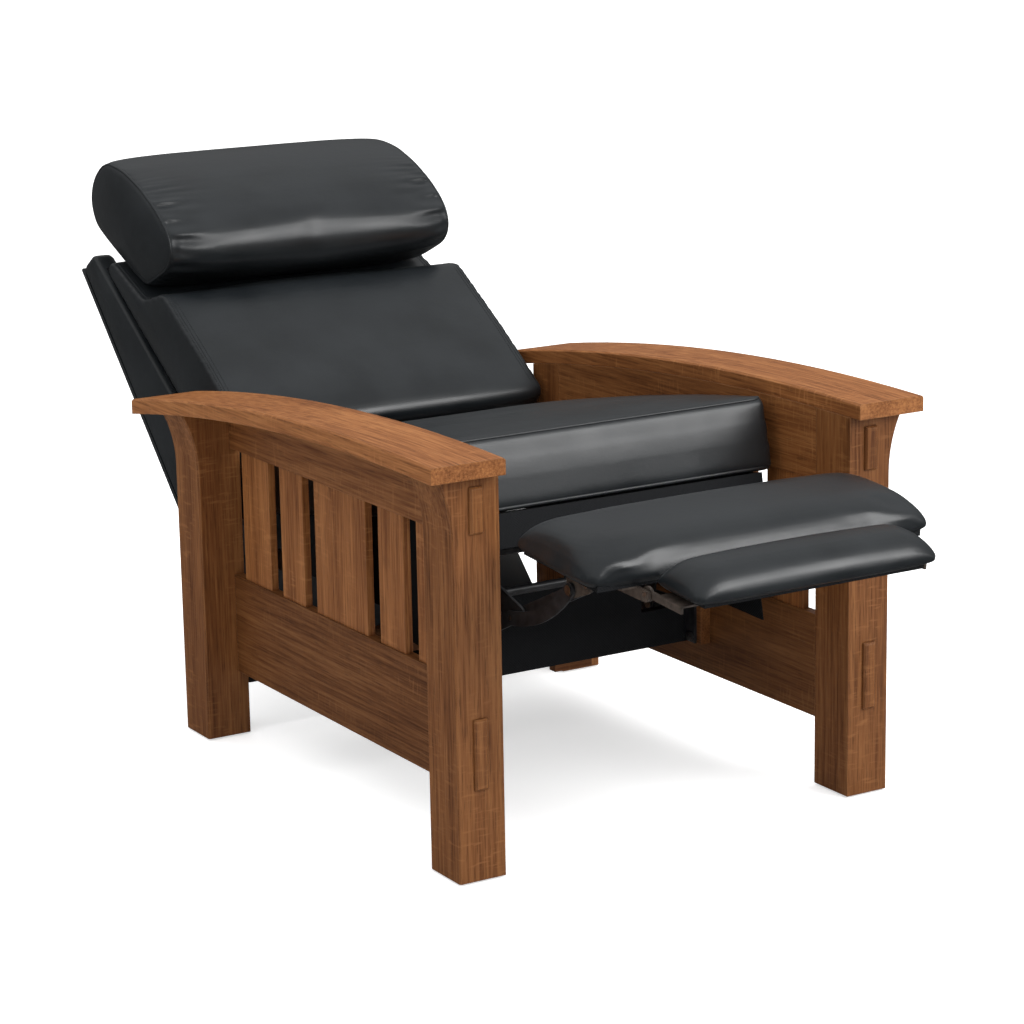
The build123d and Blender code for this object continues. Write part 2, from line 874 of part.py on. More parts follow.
guide_play = closing_play + guide_miss()


def footrest_links():
    fit = pin_radius + pin_fit
    tube_place = drive_tube_place()
    drive = link(bowed_bar(drive_place, knee_place, drive_sag, link_edge), drive_layer,
                 [(drive_place, fit)], [knee_place, tube_place])
    long_view = bar(knee_place, cross_place, link_edge)
    long_view += bowed_bar(cross_place, bracket_pin, long_sag, link_edge)
    long = link(long_view, long_layer, [(knee_place, fit)], [cross_place, bracket_pin])
    lift_ends = [disc(place, link_edge).edges() for place in (lift_place, cross_place, guide_start)]
    lift_view = make_hull(sum(lift_ends, ShapeList()))
    lift = link(lift_view, lift_layer, [(lift_place, fit), (cross_place, fit + closing_play)], [guide_start])
    guide = link(bar(guide_start, guide_end, link_edge), guide_layer,
                 [(guide_start, fit), (guide_end, pin_radius + guide_play)], [])
    half = drive_layer + link_thickness
    tube = rod(tube_place, drive_tube_radius, -drive_layer, drive_layer) + stake(tube_place, -half, half)
    return {
        "footrest_drive_links": pair(drive),
        "footrest_drive_tube": tube,
        "footrest_long_links": pair(long),
        "footrest_lift_links": pair(lift),
        "footrest_guide_links": pair(guide),
    }


def drive_tube_place():
    """Where the tube that ties the two drive links lies, on their sagging middle line."""
    arc = ThreePointArc(drive_place, sagged(drive_place, knee_place, drive_sag), knee_place)
    return arc @ drive_tube_share


def sagged(first, second, sag):
    return (first + second) / 2 + (second - first).rotate(Axis.Z, 90).normalized() * sag


def rivet(place, turning_layer, staked_layer):
    """A rivet that one link turns on, staked into the next one outwards."""
    return rod(place, pin_radius, turning_layer, staked_layer) + staked_end(place, staked_layer)


def staked_end(place, layer):
    return stake(place, layer, layer + link_thickness)


def linkage_rivets():
    """Each rivet's head lies where no other layer passes."""
    knee = rivet(knee_place, long_layer, drive_layer)
    knee += head(knee_place, drive_layer + link_thickness, head_height)
    cross = rivet(cross_place, lift_layer, long_layer) + head(cross_place, lift_layer, -head_height)
    elbow = rivet(guide_start, guide_layer, lift_layer) + head(guide_start, guide_layer, -head_height)
    toe = rivet(bracket_pin, lift_layer, long_layer)
    toe += head(bracket_pin, long_layer + link_thickness, head_height)
    return {
        "knee_rivets": pair(knee),
        "long_link_rivets": pair(Part() + [cross, toe]),
        "elbow_rivets": pair(elbow),
    }


# Footrest pads, with their boards and brackets

pad_place = Pos(0, pad_origin.X, pad_origin.Y) * Rot(pad_tilt, 0, 0)


def pad_bracket():
    """A plate below the main board: a tab for the two pins and an arm out to the flipper's hinge."""
    under = board_bottom + link_edge
    corners = [(bracket_pin, swing_edge), (guide_end, swing_edge)]
    corners += [(on_pad(bracket_start + link_edge, under), link_edge)]
    corners += [(on_pad(guide_pin_forward + swing_edge, under), link_edge)]
    tab = make_hull(sum([disc(place, radius).edges() for place, radius in corners], ShapeList()))
    arm = bar(on_pad(guide_pin_forward, under), flipper_hinge, link_edge)
    plate = side_plate(tab + arm, lift_layer, link_thickness)
    length = pad_length - board_inset
    flange = pad_place * block((lift_layer, lift_layer + flange_width), (-length, -bracket_start),
                               (-board_bottom - bracket_sheet, -board_bottom))
    above = pad_place * block((0, arm_outer), (-2 * pad_length, pad_length), (-board_bottom, pad_length))
    plate = plate + flange - above
    plate -= rod(bracket_pin, pin_radius + pin_fit, 0, arm_outer)
    return plate - [stake(place, 0, arm_outer) for place in (guide_end, flipper_hinge)]


def main_pad():
    soft = pad_form(pad_half, (-pad_length, 0), (soft_gap - board_top, -pad_sink),
                    pad_nose_share, pad_crown, pad_draw)
    board = block((board_inset - pad_half, pad_half - board_inset), (board_inset - pad_length, -board_inset),
                  (-board_bottom, -board_top))
    pins = [rivet(place, guide_layer, lift_layer) + head(place, guide_layer, -head_height)
            for place in (guide_end, flipper_hinge)]
    return {
        "footrest_pad": pad_place * soft,
        "footrest_board": pad_place * board,
        "footrest_brackets": pair(pad_bracket()),
        "bracket_rivets": pair(Part() + pins),
    }


def flipper():
    """The small outer pad. It turns on the brackets' hinge and folds flat under the main pad."""
    near = -hinge_forward - flipper_start
    far = near - flipper_length
    top = -flipper_drop
    bottom = top - flipper_thickness
    soft = pad_form(flipper_half, (far, near), (bottom + soft_gap, top), pad_nose_share, pad_crown, pad_draw)
    low = -flipper_bottom
    board_half = flipper_half - board_inset
    board = block((-board_half, board_half), (far + board_inset, near - board_inset / 2), (low, bottom))
    boss = side_plate(disc(flipper_hinge, link_edge), guide_layer, link_thickness)
    arm = pad_place * block((guide_layer, guide_layer + link_thickness), (near - flipper_arm, -hinge_forward),
                            (low - flipper_arm_height, low))
    flange = pad_place * block((guide_layer - 2 * flange_width, guide_layer + link_thickness),
                               (near - flipper_arm, near - 2 * link_edge), (low - bracket_sheet, low))
    plate = boss + arm + flange - rod(flipper_hinge, pin_radius + pin_fit, 0, arm_outer)
    return {
        "flipper_pad": pad_place * soft,
        "flipper_board": pad_place * board,
        "flipper_brackets": pair(plate),
    }


# Back: a wedge-shaped frame with a hanging rear skin, hinged on the rear tube

back_place = Pos(0, rear_tube_setback, rear_tube_height) * Rot(-back_lean, 0, 0)
back_slope = (back_front_top - back_front_bottom) / (back_shoulder - back_wedge_bottom)
skin_front = back_rear - back_skin
back_rest = back_web_thickness + soft_gap
rear_tube_on_seat = (rear_tube_place - at(seat_front, seat_height)).rotate(Axis.Z, seat_tilt)
back_cushion_start = seat_cushion_thickness + seat_crown - rear_tube_on_seat.Y + back_seat_gap


def back_front(height):
    """How far the frame's front edge lies behind the hinge line at a height up the back."""
    return back_front_bottom + (height - back_wedge_bottom) * back_slope


def back_view():
    """The wedge frame's side view."""
    points = [
        (back_front_bottom, back_wedge_bottom),
        (back_front_top, back_shoulder),
        (skin_front, back_top),
        (skin_front, back_wedge_tail),
    ]
    return Polygon(*points, align=None)


def back_arm():
    """The bent plate between the rear tube and the frame's side, dropped to pass behind the seat."""
    hinge = at(0, 0)
    knee = disc(at(back_arm_knee, back_arm_knee), back_arm_edge)
    front = disc(at(back_arm_front, back_wedge_bottom + back_arm_rise), back_arm_edge)
    rear = disc(at(skin_front - back_arm_rear_gap, back_wedge_bottom), back_arm_edge)
    lower = make_hull(disc(hinge, tube_boss_radius).edges() + knee.edges())
    upper = make_hull(knee.edges() + front.edges() + rear.edges())
    plate = side_plate(lower + upper, back_arm_layer, back_arm_thickness)
    return plate - rod(hinge, pin_radius + pin_fit, 0, arm_outer)


def back_pad_face(height):
    """How far the front of the back cushion's thin upper part lies behind the hinge line."""
    low = back_cushion_corner + back_step
    share = (height - low) / (back_pad_end - low)
    low_face = back_front(low) - back_rest - back_pad_low
    high_face = back_front(back_pad_end) - back_rest - back_pad_high
    return low_face + share * (high_face - low_face)


def back_cushion_view(fullness):
    """The back cushion's side view: a hollow end that clears the seat, a thick front and a thin top."""
    draw = seat_draw * (1 - fullness)
    crown = back_cushion_crown * (1 + fullness) / 2
    start = back_cushion_start + draw / 2
    face = back_rest + back_cushion_thickness - draw
    low_rear = back_front(start - back_cushion_thickness / 2) - back_rest
    low_front = back_front(start) - face
    ends = [at(y, sqrt(start**2 - y**2)) for y in (low_rear, low_front)]
    hollow = ThreePointArc(ends[0], (ends[0] + ends[1]).normalized() * start, ends[1])
    corner_height = back_cushion_corner - draw
    corner = at(back_front(corner_height) - face + back_cushion_crown, corner_height)
    bulge = (ends[1] + corner) / 2 - at(crown, 0)
    step_height = back_cushion_corner + back_step - draw
    step = at(back_pad_face(step_height), step_height)
    top = at(back_pad_face(back_pad_end), back_pad_end)
    top_rear = at(back_front(back_pad_end) - back_rest, back_pad_end)
    front = ThreePointArc(ends[1], bulge, corner)
    return make_face([hollow, front, Line(corner, step), Line(step, top), Line(top, top_rear),
                      Line(top_rear, ends[0])])


def pillow_place(depth_share, height_share):
    """A place on the pillow's outline from its shares of the depth and height."""
    low_rear = at(back_pad_face(pillow_low) - soft_gap, pillow_low)
    return low_rear + at(depth_share * pillow_depth, height_share * pillow_height)


def pillow_view(fullness):
    """The head pillow's side view: a rounded bolster that leans back over the frame's top."""
    rise = back_pad_face(pillow_low + pillow_height) - back_pad_face(pillow_low)
    rear_share = rise * pillow_rest_share / pillow_depth
    shares = ((0, 0), (rear_share, pillow_rest_share)) + pillow_shares
    middle = pillow_place(*pillow_middle_share)
    scale = 1 - pillow_shrink_share * (1 - fullness)
    places = [middle + (pillow_place(*share) - middle) * scale for share in shares]
    arcs = [ThreePointArc(*places[start:start + 3]) for start in range(1, len(places) - 1, 2)]
    return make_face([Line(places[0], places[1])] + arcs + [Line(places[-1], places[0])])


def back_webs():
    """Straps across the frame's front edges, which the cushion leans on."""
    first = back_wedge_bottom + 4 * back_rail
    last = back_pad_end - back_web_width
    webs = []
    for number in range(back_web_count):
        low = first + (last - first) * number / (back_web_count - 1)
        high = low + back_web_width
        rear = [(back_front(height), height) for height in (low, high)]
        front = [(y - back_web_thickness, height) for y, height in reversed(rear)]
        half = back_half - link_edge
        webs.append(side_plate(Polygon(*rear, *front, align=None), -half, 2 * half))
    return Part() + webs


def back():
    inner = back_half - back_side_thickness
    side = side_plate(back_view(), inner, back_side_thickness)
    wedge = side_plate(back_view(), -inner, 2 * inner)
    top_start = back_shoulder - 3 * back_rail
    low_start = back_wedge_bottom + back_rail
    top_bar = block((-inner, inner), (0, skin_front), (top_start, top_start + back_rail))
    low_bar = block((-back_arm_layer, back_arm_layer), (0, skin_front), (low_start, low_start + back_rail))
    skin = block((-back_half, back_half), (skin_front, back_rear), (-back_flap, back_top))
    return {
        "back_side_panels": pair(back_place * side),
        "back_top_rail": back_place * (top_bar & wedge),
        "back_bottom_rail": back_place * (low_bar & wedge),
        "back_webbing": back_place * back_webs(),
        "back_outer_panel": back_place * skin,
        "back_arms": pair(back_place * back_arm()),
        "back_cushion": back_place * stuffed(back_cushion_half, back_cushion_view, boxed_evenness),
        "head_pillow": back_place * stuffed(pillow_half, pillow_view, bolster_evenness),
    }


def chair():
    """Every node in its place, with the origin under the middle of the whole chair."""
    nodes = side_frames() | base() | swing_links() | seat() | footrest_links() | linkage_rivets()
    nodes |= main_pad() | flipper() | back()
    boxes = [part.bounding_box() for part in nodes.values()]
    middle = (min(box.min.Y for box in boxes) + max(box.max.Y for box in boxes)) / 2
    return {name: Pos(0, -middle, 0) * part for name, part in nodes.items()}, middle


if __name__ == "__main__":
    os.makedirs("parts", exist_ok=True)
    nodes, middle = chair()
    for name, part in nodes.items():
        export_step(part, "parts/" + name + ".step")
    print("nodes", len(nodes), "origin set back", round(middle, 2))
    print("open pivots' play", round(rear_swing_play, 3), round(guide_play, 3))
    print("the back reclines by", back_turn_angle, "and the outer pad folds by", flipper_turn_angle)
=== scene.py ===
# %% [markdown]
# # Dressing a mission reclining armchair
# The chair comes in as a finished frame: oak sides, a steel swing under the seat, a folding
# footrest linkage, and plain blocks where the stuffed leather goes. This lesson keeps every rigid
# piece where it is, gives it a finish, and sews new leather pieces over the plain blocks.

# %% Load the frame
import bpy
import numpy as np
from mathutils import Matrix, Vector
from mathutils.bvhtree import BVHTree


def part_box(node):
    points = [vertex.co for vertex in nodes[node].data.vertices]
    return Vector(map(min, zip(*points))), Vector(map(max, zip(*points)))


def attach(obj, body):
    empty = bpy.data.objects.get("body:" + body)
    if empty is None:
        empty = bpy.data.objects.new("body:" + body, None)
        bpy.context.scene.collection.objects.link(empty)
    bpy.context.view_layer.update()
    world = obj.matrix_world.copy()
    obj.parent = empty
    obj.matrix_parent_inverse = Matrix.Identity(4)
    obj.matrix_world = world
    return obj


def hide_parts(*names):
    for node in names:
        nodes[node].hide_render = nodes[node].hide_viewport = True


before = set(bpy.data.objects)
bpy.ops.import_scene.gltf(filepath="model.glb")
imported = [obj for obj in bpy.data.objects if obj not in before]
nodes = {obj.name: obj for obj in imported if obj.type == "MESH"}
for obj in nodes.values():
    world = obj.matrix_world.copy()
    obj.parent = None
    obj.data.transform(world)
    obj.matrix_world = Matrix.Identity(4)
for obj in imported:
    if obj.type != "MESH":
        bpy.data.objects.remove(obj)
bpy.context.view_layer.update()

leg_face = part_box("front_leg_left")[0][1]
print("frame:", len(nodes), "nodes, front of the legs at y", round(leg_face, 4))

# %% [markdown]
# The photograph looks down at the chair's right front corner through a long lens. The camera's
# place, its three angles and its lens come from matching the legs and arms, whose sizes are known.
# Its place is measured from the front of the legs, so it follows the chair if the frame changes.
# A rotation matrix built from the view's own right, up and back directions avoids any doubt about
# the order of the angles.

# %% Camera
YAW, PITCH, ROLL = np.radians((30.99, -13.57, -1.06))
CAMERA_PLACE = (-2.46027, -3.61593 + leg_face, 1.56122)
FOCAL_LENGTH, SENSOR_WIDTH = 107.68, 36.0

ahead = np.array([np.sin(YAW) * np.cos(PITCH), np.cos(YAW) * np.cos(PITCH), np.sin(PITCH)])
level = np.array([np.cos(YAW), -np.sin(YAW), 0.0])
above = np.cross(level, ahead)
right = np.cos(ROLL) * level + np.sin(ROLL) * above
above = np.cos(ROLL) * above - np.sin(ROLL) * level

lens = bpy.data.cameras.new("camera")
lens.lens, lens.sensor_width = FOCAL_LENGTH, SENSOR_WIDTH
camera = bpy.data.objects.new("camera", lens)
view_turn = Matrix(np.column_stack([right, above, -ahead]).tolist()).to_4x4()
camera.matrix_world = Matrix.Translation(CAMERA_PLACE) @ view_turn
bpy.context.scene.collection.objects.link(camera)
bpy.context.scene.camera = camera
print("camera stands at", [round(c, 3) for c in camera.matrix_world.translation])

# %% [markdown]
# Skies, floors and finishes are all graphs of nodes. Writing one out by hand takes several lines
# for each node, so one helper adds a node, sets its choices and fills or links its sockets.

# %% Helper for nodes
def add_node(tree, kind, settings=None, **sockets):
    """One node. Sockets are named as on the node with _ for a space, or s0, s1 by number."""
    made = tree.nodes.new(kind)
    for name, value in (settings or {}).items():
        setattr(made, name, value)
    for name, value in sockets.items():
        numbered = name[0] == "s" and name[1:].isdigit()
        socket = made.inputs[int(name[1:]) if numbered else name.replace("_", " ")]
        if isinstance(value, bpy.types.NodeSocket):
            tree.links.new(value, socket)
        else:
            socket.default_value = value
    return made


print("nodes can be added")

# %% [markdown]
# Three square panels light the chair, from the front, from above and a little from the side.
# Black leather shows light almost only as reflections, so it decides where the panels may be seen
# in it: only the front one is mirrored, and draws one soft highlight along each rounded edge. The
# others light the oak, which has colour of its own to show.

# %% Light panels
def light_panel(name, place, aim, size, power, mirrored):
    """A square light that faces an aim point. Glossy surfaces show it if it is mirrored."""
    panel = bpy.data.lights.new(name, "AREA")
    panel.shape, panel.size, panel.energy = "SQUARE", size, power
    stand = bpy.data.objects.new(name, panel)
    stand.location = place
    stand.visible_glossy = mirrored
    stand.rotation_euler = (Vector(aim) - Vector(place)).to_track_quat("-Z", "Y").to_euler()
    bpy.context.scene.collection.objects.link(stand)


light_panel("front_light", place=(2.3, -4.1, 2.9), aim=(0, 0, 0.5), size=2.6, power=175, mirrored=True)
light_panel("top_light", place=(0.3, 0.2, 4.2), aim=(0, 0, 0.4), size=3.0, power=85, mirrored=False)
light_panel("side_light", place=(-4.4, -1.6, 1.8), aim=(0, 0, 0.4), size=2.2, power=16, mirrored=False)
print("studio has", len(bpy.data.lights), "light panels")

# %% [markdown]
# The sky is white, bright overhead and dim near the horizon, as a ceiling of cloth would be. Its
# strength climbs smoothly with the height of the direction looked at. Glossy rays see it at about
# a third of that, or its reflection would turn the flat leather tops grey.

# %% Sky
MIRRORED_SKY = 0.36
sky = bpy.data.worlds.new("studio")
sky.use_nodes = True
sky_tree = sky.node_tree
backdrop = sky_tree.nodes["Background"]

way = add_node(sky_tree, "ShaderNodeTexCoord").outputs["Generated"]
height = add_node(sky_tree, "ShaderNodeSeparateXYZ", Vector=way).outputs["Z"]
glow = add_node(sky_tree, "ShaderNodeMapRange", {"interpolation_type": "SMOOTHSTEP"}, Value=height,
                From_Min=0.05, From_Max=0.80, To_Min=0.28, To_Max=1.50).outputs["Result"]
glossy = add_node(sky_tree, "ShaderNodeLightPath").outputs["Is Glossy Ray"]
dimmed = add_node(sky_tree, "ShaderNodeMapRange", Value=glossy,
                  To_Min=1.0, To_Max=MIRRORED_SKY).outputs["Result"]
strength = add_node(sky_tree, "ShaderNodeMath", {"operation": "MULTIPLY"}, s0=dimmed, s1=glow)
sky_tree.links.new(strength.outputs[0], backdrop.inputs["Strength"])
backdrop.inputs["Color"].default_value = (1, 1, 1, 1)
bpy.context.scene.world = sky
bpy.context.scene.view_settings.view_transform = "Standard"
print("sky:", len(sky_tree.nodes), "nodes")

# %% [markdown]
# A finish is one shader with patterns wired into it. Small helpers make the patterns: noise,
# colours from a grey, coordinates that are turned and stretched, and bumps. All patterns read
# Object coordinates. Every piece here sits at the origin with its place in its mesh, so those
# coordinates are metres, and a scale of 500 means features of two millimetres.

# %% Helpers for finishes
def colours(tree, factor, *stops):
    """Colours from a grey pattern. Each stop is (place from 0 to 1, colour)."""
    ramp = add_node(tree, "ShaderNodeValToRGB", Fac=factor)
    marks = ramp.color_ramp.elements
    while len(marks) < len(stops):
        marks.new(0.5)
    for mark, (place, colour) in zip(marks, stops):
        mark.position = place
        mark.color = (*colour, 1)
    return ramp.outputs["Color"]


def grey(*levels):
    """Stops for colours() from pairs of a place and a grey level."""
    return [(place, (level, level, level)) for place, level in levels]


def blank_finish(name, **sockets):
    """A new material with one shader whose plain values are set on its own sockets."""
    finish = bpy.data.materials.new(name)
    finish.use_nodes = True
    tree = finish.node_tree
    shader = tree.nodes["Principled BSDF"]
    for key, value in sockets.items():
        shader.inputs[key.replace("_", " ")].default_value = value
    return finish, tree, shader


def stretched(tree, shift=(0, 0, 0), turn=(0, 0, 0), scale=(1, 1, 1)):
    """Object coordinates, moved, turned and stretched."""
    place = add_node(tree, "ShaderNodeTexCoord").outputs["Object"]
    turned = add_node(tree, "ShaderNodeMapping", Vector=place, Location=shift, Rotation=turn)
    drawn = add_node(tree, "ShaderNodeMapping", Vector=turned.outputs["Vector"], Scale=scale)
    return drawn.outputs["Vector"]


def cloudy(tree, place, size, detail=3.0, rough=0.5):
    """A soft grey noise."""
    made = add_node(tree, "ShaderNodeTexNoise", Vector=place, Scale=size, Detail=detail, Roughness=rough)
    return made.outputs["Fac"]


def raise_bumps(tree, shader, height, depth, strength=1.0, under=None):
    """Bumps of a depth in metres from a grey height. under is another bump's normal."""
    bump = add_node(tree, "ShaderNodeBump", Height=height, Distance=depth, Strength=strength)
    if under is not None:
        tree.links.new(under, bump.inputs["Normal"])
    tree.links.new(bump.outputs["Normal"], shader.inputs["Normal"])
    return bump.outputs["Normal"]


print("helpers for finishes ready")

# %% [markdown]
# The wood is quarter-sawn oak under a warm brown stain. Its marks all follow the fibres: slow
# changes of tone along the board, fine dark pores a few millimetres long, and the ray fleck,
# pale flakes that lie across the fibres in clusters. Each is a noise stretched in its own way, in
# coordinates turned so that the fibres run along Z. Each board shifts the pattern, so that no two
# boards look cut from the same spot. The edges are painted paler, partly as stain that hands and
# cleaning wear thin and partly as a painted highlight where the edges catch the light: where a
# softened normal turns away from the true one, the wood is paler.

# %% Stained oak
ALONG = {"X": (0, -np.pi / 2, 0), "Y": (np.pi / 2, 0, 0), "Z": (0, 0, 0)}

# For each mark: its noise's stretch across, across and along the fibres, size, detail and roughness
OAK_MARKS = {
    "tone": ((1, 1, 0.05), 26, 4, 0.55),
    "streak": ((1, 1, 0.03), 260, 4, 0.62),
    "pore": ((1, 1, 0.045), 620, 2, 0.5),
    "flake": ((0.16, 0.16, 1), 190, 2, 0.5),
    "cluster": ((1, 1, 0.3), 14, 2, 0.5),
}
TONE_SHARE, STREAK_SHARE = 0.37, 0.68
DARK_OAK, MIDDLE_OAK, PALE_OAK = (0.078, 0.025, 0.0066), (0.148, 0.054, 0.0160), (0.215, 0.088, 0.0290)
# The second colour on this line is the paler edge colour: worn stain and a painted highlight where edges
# catch the light.
FLAKE_OAK, WORN_AND_HIGHLIT_OAK = (0.27, 0.115, 0.040), (0.30, 0.138, 0.053)
EDGE_RADIUS, PORE_DEPTH = 0.0022, 0.00012


def blended(tree, amount, first, second, way="MIX"):
    """One colour laid over another."""
    made = add_node(tree, "ShaderNodeMix", {"data_type": "RGBA", "blend_type": way},
                    s0=amount, s6=first, s7=second)
    return made.outputs[2]


def product(tree, first, second, kind="MULTIPLY", **more):
    """Two greys multiplied. As MULTIPLY_ADD, a third is added."""
    return add_node(tree, "ShaderNodeMath", {"operation": kind}, s0=first, s1=second, **more).outputs[0]


def worn_and_highlit_edges(tree, radius):
    """A softened normal, and how far it turns from the true one, as a grey."""
    soft = add_node(tree, "ShaderNodeBevel", {"samples": 3}, Radius=radius).outputs["Normal"]
    true = add_node(tree, "ShaderNodeNewGeometry").outputs["Normal"]
    match = add_node(tree, "ShaderNodeVectorMath", {"operation": "DOT_PRODUCT"}, s0=soft, s1=true)
    return soft, colours(tree, match.outputs["Value"], *grey((0.80, 0.5), (0.99, 0.0)))


def stained_oak(name, fibres, shift, stain):
    """Oak whose fibres run along an axis, with its pattern moved by a shift. A higher stain is paler."""
    finish, tree, shader = blank_finish(name, Specular_IOR_Level=0.2)
    tone, streak, pore, flake, cluster = [
        cloudy(tree, stretched(tree, shift, ALONG[fibres], stretch), size, detail, rough)
        for stretch, size, detail, rough in OAK_MARKS.values()]
    dark, middle, pale, fleck = [tuple(stain * part for part in shade)
                                 for shade in (DARK_OAK, MIDDLE_OAK, PALE_OAK, FLAKE_OAK)]

    mixed = product(tree, streak, STREAK_SHARE)
    mixed = product(tree, tone, TONE_SHARE, "MULTIPLY_ADD", s2=mixed)
    wood = colours(tree, mixed, (0.36, dark), (0.51, middle), (0.66, pale))
    pores = colours(tree, pore, *grey((0.30, 0.0), (0.42, 1.0)))
    porous = blended(tree, 0.4, wood, pores, "MULTIPLY")
    flakes = colours(tree, flake, *grey((0.56, 0.0), (0.68, 1.0)))
    clusters = colours(tree, cluster, *grey((0.42, 0.0), (0.58, 0.40)))
    flecked = blended(tree, product(tree, flakes, clusters), porous, (*fleck, 1))
    # The edges are painted paler: worn stain, and a painted highlight where they catch the light.
    soft, worn_and_highlit = worn_and_highlit_edges(tree, EDGE_RADIUS)
    tree.links.new(blended(tree, worn_and_highlit, flecked, (*WORN_AND_HIGHLIT_OAK, 1)), shader.inputs["Base Color"])
    rough = colours(tree, mixed, *grey((0.35, 0.52), (0.65, 0.40)))
    tree.links.new(rough, shader.inputs["Roughness"])
    raise_bumps(tree, shader, pores, PORE_DEPTH, 0.6, under=soft)
    return finish


print("oak marks:", ", ".join(OAK_MARKS))

# %% [markdown]
# Each board is stained by itself, with its fibres along its length. The arm boards and the slats
# took the stain paler than the legs, and the lower rails took it darker, so a stain value for each
# kind of board scales its colours. The kind is the first word of a node's name.

# %% Stain the boards
def set_finish(node, finish):
    """One finish on every slot of a CAD node or a new piece."""
    mesh = nodes[node].data if isinstance(node, str) else node.data
    mesh.materials.clear()
    mesh.materials.append(finish)


STAINS = {"arm": 1.45, "narrow": 1.4, "wide": 1.4, "upper": 1.1, "lower": 0.8, "rear": 1.05}
BOARD_SHIFT = (1.37, 0.83, 0.61)
boards = {"Z": ["front_leg_left", "front_leg_right", "rear_leg_left", "rear_leg_right", "narrow_slats_left",
                "narrow_slats_right", "wide_slat_left", "wide_slat_right", "tenon_ends"],
          "Y": ["arm_board_left", "arm_board_right", "lower_side_rail_left", "lower_side_rail_right",
                "upper_side_rail_left", "upper_side_rail_right", "base_cleats"],
          "X": ["base_rear_rail", "base_panel_block"]}
for fibres, names in boards.items():
    for number, name in enumerate(names):
        shift = (BOARD_SHIFT[0] * number + 0.2, BOARD_SHIFT[1] * number, BOARD_SHIFT[2] * number)
        stain = STAINS.get(name.split("_")[0], 1.0)
        set_finish(name, stained_oak("oak_" + name, fibres, shift, stain))
print("stained", sum(len(names) for names in boards.values()), "oak nodes")

# %% [markdown]
# The cushions are smooth black leather with a faint blue-grey cast. Up close it has a fine pebble
# grain about a millimetre across, and broader creases where it has been pulled over foam. A
# Voronoi pattern gives the pebbles, a soft noise the creases, and the same noise varies the gloss.

# %% Black leather
DEEP_BLACK, SOFT_BLACK = (0.0062, 0.0078, 0.0092), (0.0118, 0.0142, 0.0162)
CREASE_DEPTH, PEBBLE_DEPTH = 0.0010, 0.00018


def black_leather(name, gloss=0.36):
    """Leather with a pebble grain of about a millimetre. A lower gloss value is shinier."""
    finish, tree, shader = blank_finish(name, Specular_IOR_Level=0.5)
    place = add_node(tree, "ShaderNodeTexCoord").outputs["Object"]
    broad = cloudy(tree, place, 9, 3)
    tree.links.new(colours(tree, broad, (0.3, DEEP_BLACK), (0.7, SOFT_BLACK)), shader.inputs["Base Color"])
    rough = colours(tree, broad, *grey((0.3, gloss - 0.05), (0.7, gloss + 0.06)))
    tree.links.new(rough, shader.inputs["Roughness"])
    creases = cloudy(tree, place, 38, 3, 0.6)
    first = raise_bumps(tree, shader, creases, CREASE_DEPTH, 0.30)
    pebbles = add_node(tree, "ShaderNodeTexVoronoi", {"feature": "SMOOTH_F1"}, Vector=place, Scale=850.0)
    raise_bumps(tree, shader, pebbles.outputs["Distance"], PEBBLE_DEPTH, 0.35, under=first)
    return finish


leather = black_leather("black_leather")
piping = black_leather("piping_leather", 0.44)
thread = black_leather("thread", 0.55)
print("leather finishes:", leather.name, piping.name, thread.name)

# %% [markdown]
# The rest is quieter. Black cloth covers the boards that nobody sits on: a plain weave is two
# sets of waves at right angles. Its colour is black cloth made darker still, so where the boards show
# under the seat and below the pads' leather they are painted shade. The steel is satin black where it
# is painted, brown on the pads' brackets and bright zinc where it is riveted. Springs and their clips
# are plain wire. Each finish is a function of a few colours, and one table says which nodes wear it.

# %% Cloth and steel
SCRATCH_SIZE = 1280.0


def black_cloth_and_shade():
    """A plain weave with threads of about a millimetre."""
    finish, tree, shader = blank_finish("black_cloth_and_shade", Roughness=0.9, Specular_IOR_Level=0.2)
    place = add_node(tree, "ShaderNodeTexCoord").outputs["Object"]
    rows = [add_node(tree, "ShaderNodeTexWave", {"bands_direction": way}, Vector=place, Scale=130.0,
                     Distortion=0.6).outputs["Fac"] for way in ("X", "DIAGONAL")]
    weave = add_node(tree, "ShaderNodeMath", {"operation": "MAXIMUM"}, s0=rows[0], s1=rows[1]).outputs[0]
    # Black cloth made darker still: painted shade where the boards show under the seat and below the pads.
    cloth_and_shade_tint = colours(tree, weave, (0.2, (0.0030, 0.0034, 0.0040)), (0.9, (0.0100, 0.0108, 0.0122)))
    tree.links.new(cloth_and_shade_tint, shader.inputs["Base Color"])
    raise_bumps(tree, shader, weave, 0.0004, 0.5)
    return finish


def metal(name, dark, light, gloss, metallic):
    """Steel with fine scratches and a mottled gloss. dark and light bound its colour."""
    finish, tree, shader = blank_finish(name, Metallic=metallic)
    place = add_node(tree, "ShaderNodeTexCoord").outputs["Object"]
    mottle = cloudy(tree, place, 60, 4, 0.6)
    scratch = cloudy(tree, stretched(tree, scale=(1, 0.06, 1)), SCRATCH_SIZE, 2)
    tree.links.new(colours(tree, mottle, (0.3, dark), (0.7, light)), shader.inputs["Base Color"])
    rough = colours(tree, mottle, *grey((0.3, gloss + 0.12), (0.7, gloss)))
    tree.links.new(rough, shader.inputs["Roughness"])
    raise_bumps(tree, shader, scratch, 0.00008, 0.5)
    return finish


def nylon():
    """Dark moulded nylon with a fine fleck, for the glides."""
    finish, tree, shader = blank_finish("glide_nylon", Roughness=0.55)
    place = add_node(tree, "ShaderNodeTexCoord").outputs["Object"]
    fleck = cloudy(tree, place, 900, 2)
    tree.links.new(colours(tree, fleck, (0.3, (0.030, 0.026, 0.022)), (0.7, (0.055, 0.048, 0.040))),
                   shader.inputs["Base Color"])
    raise_bumps(tree, shader, fleck, 0.0001, 0.4)
    return finish


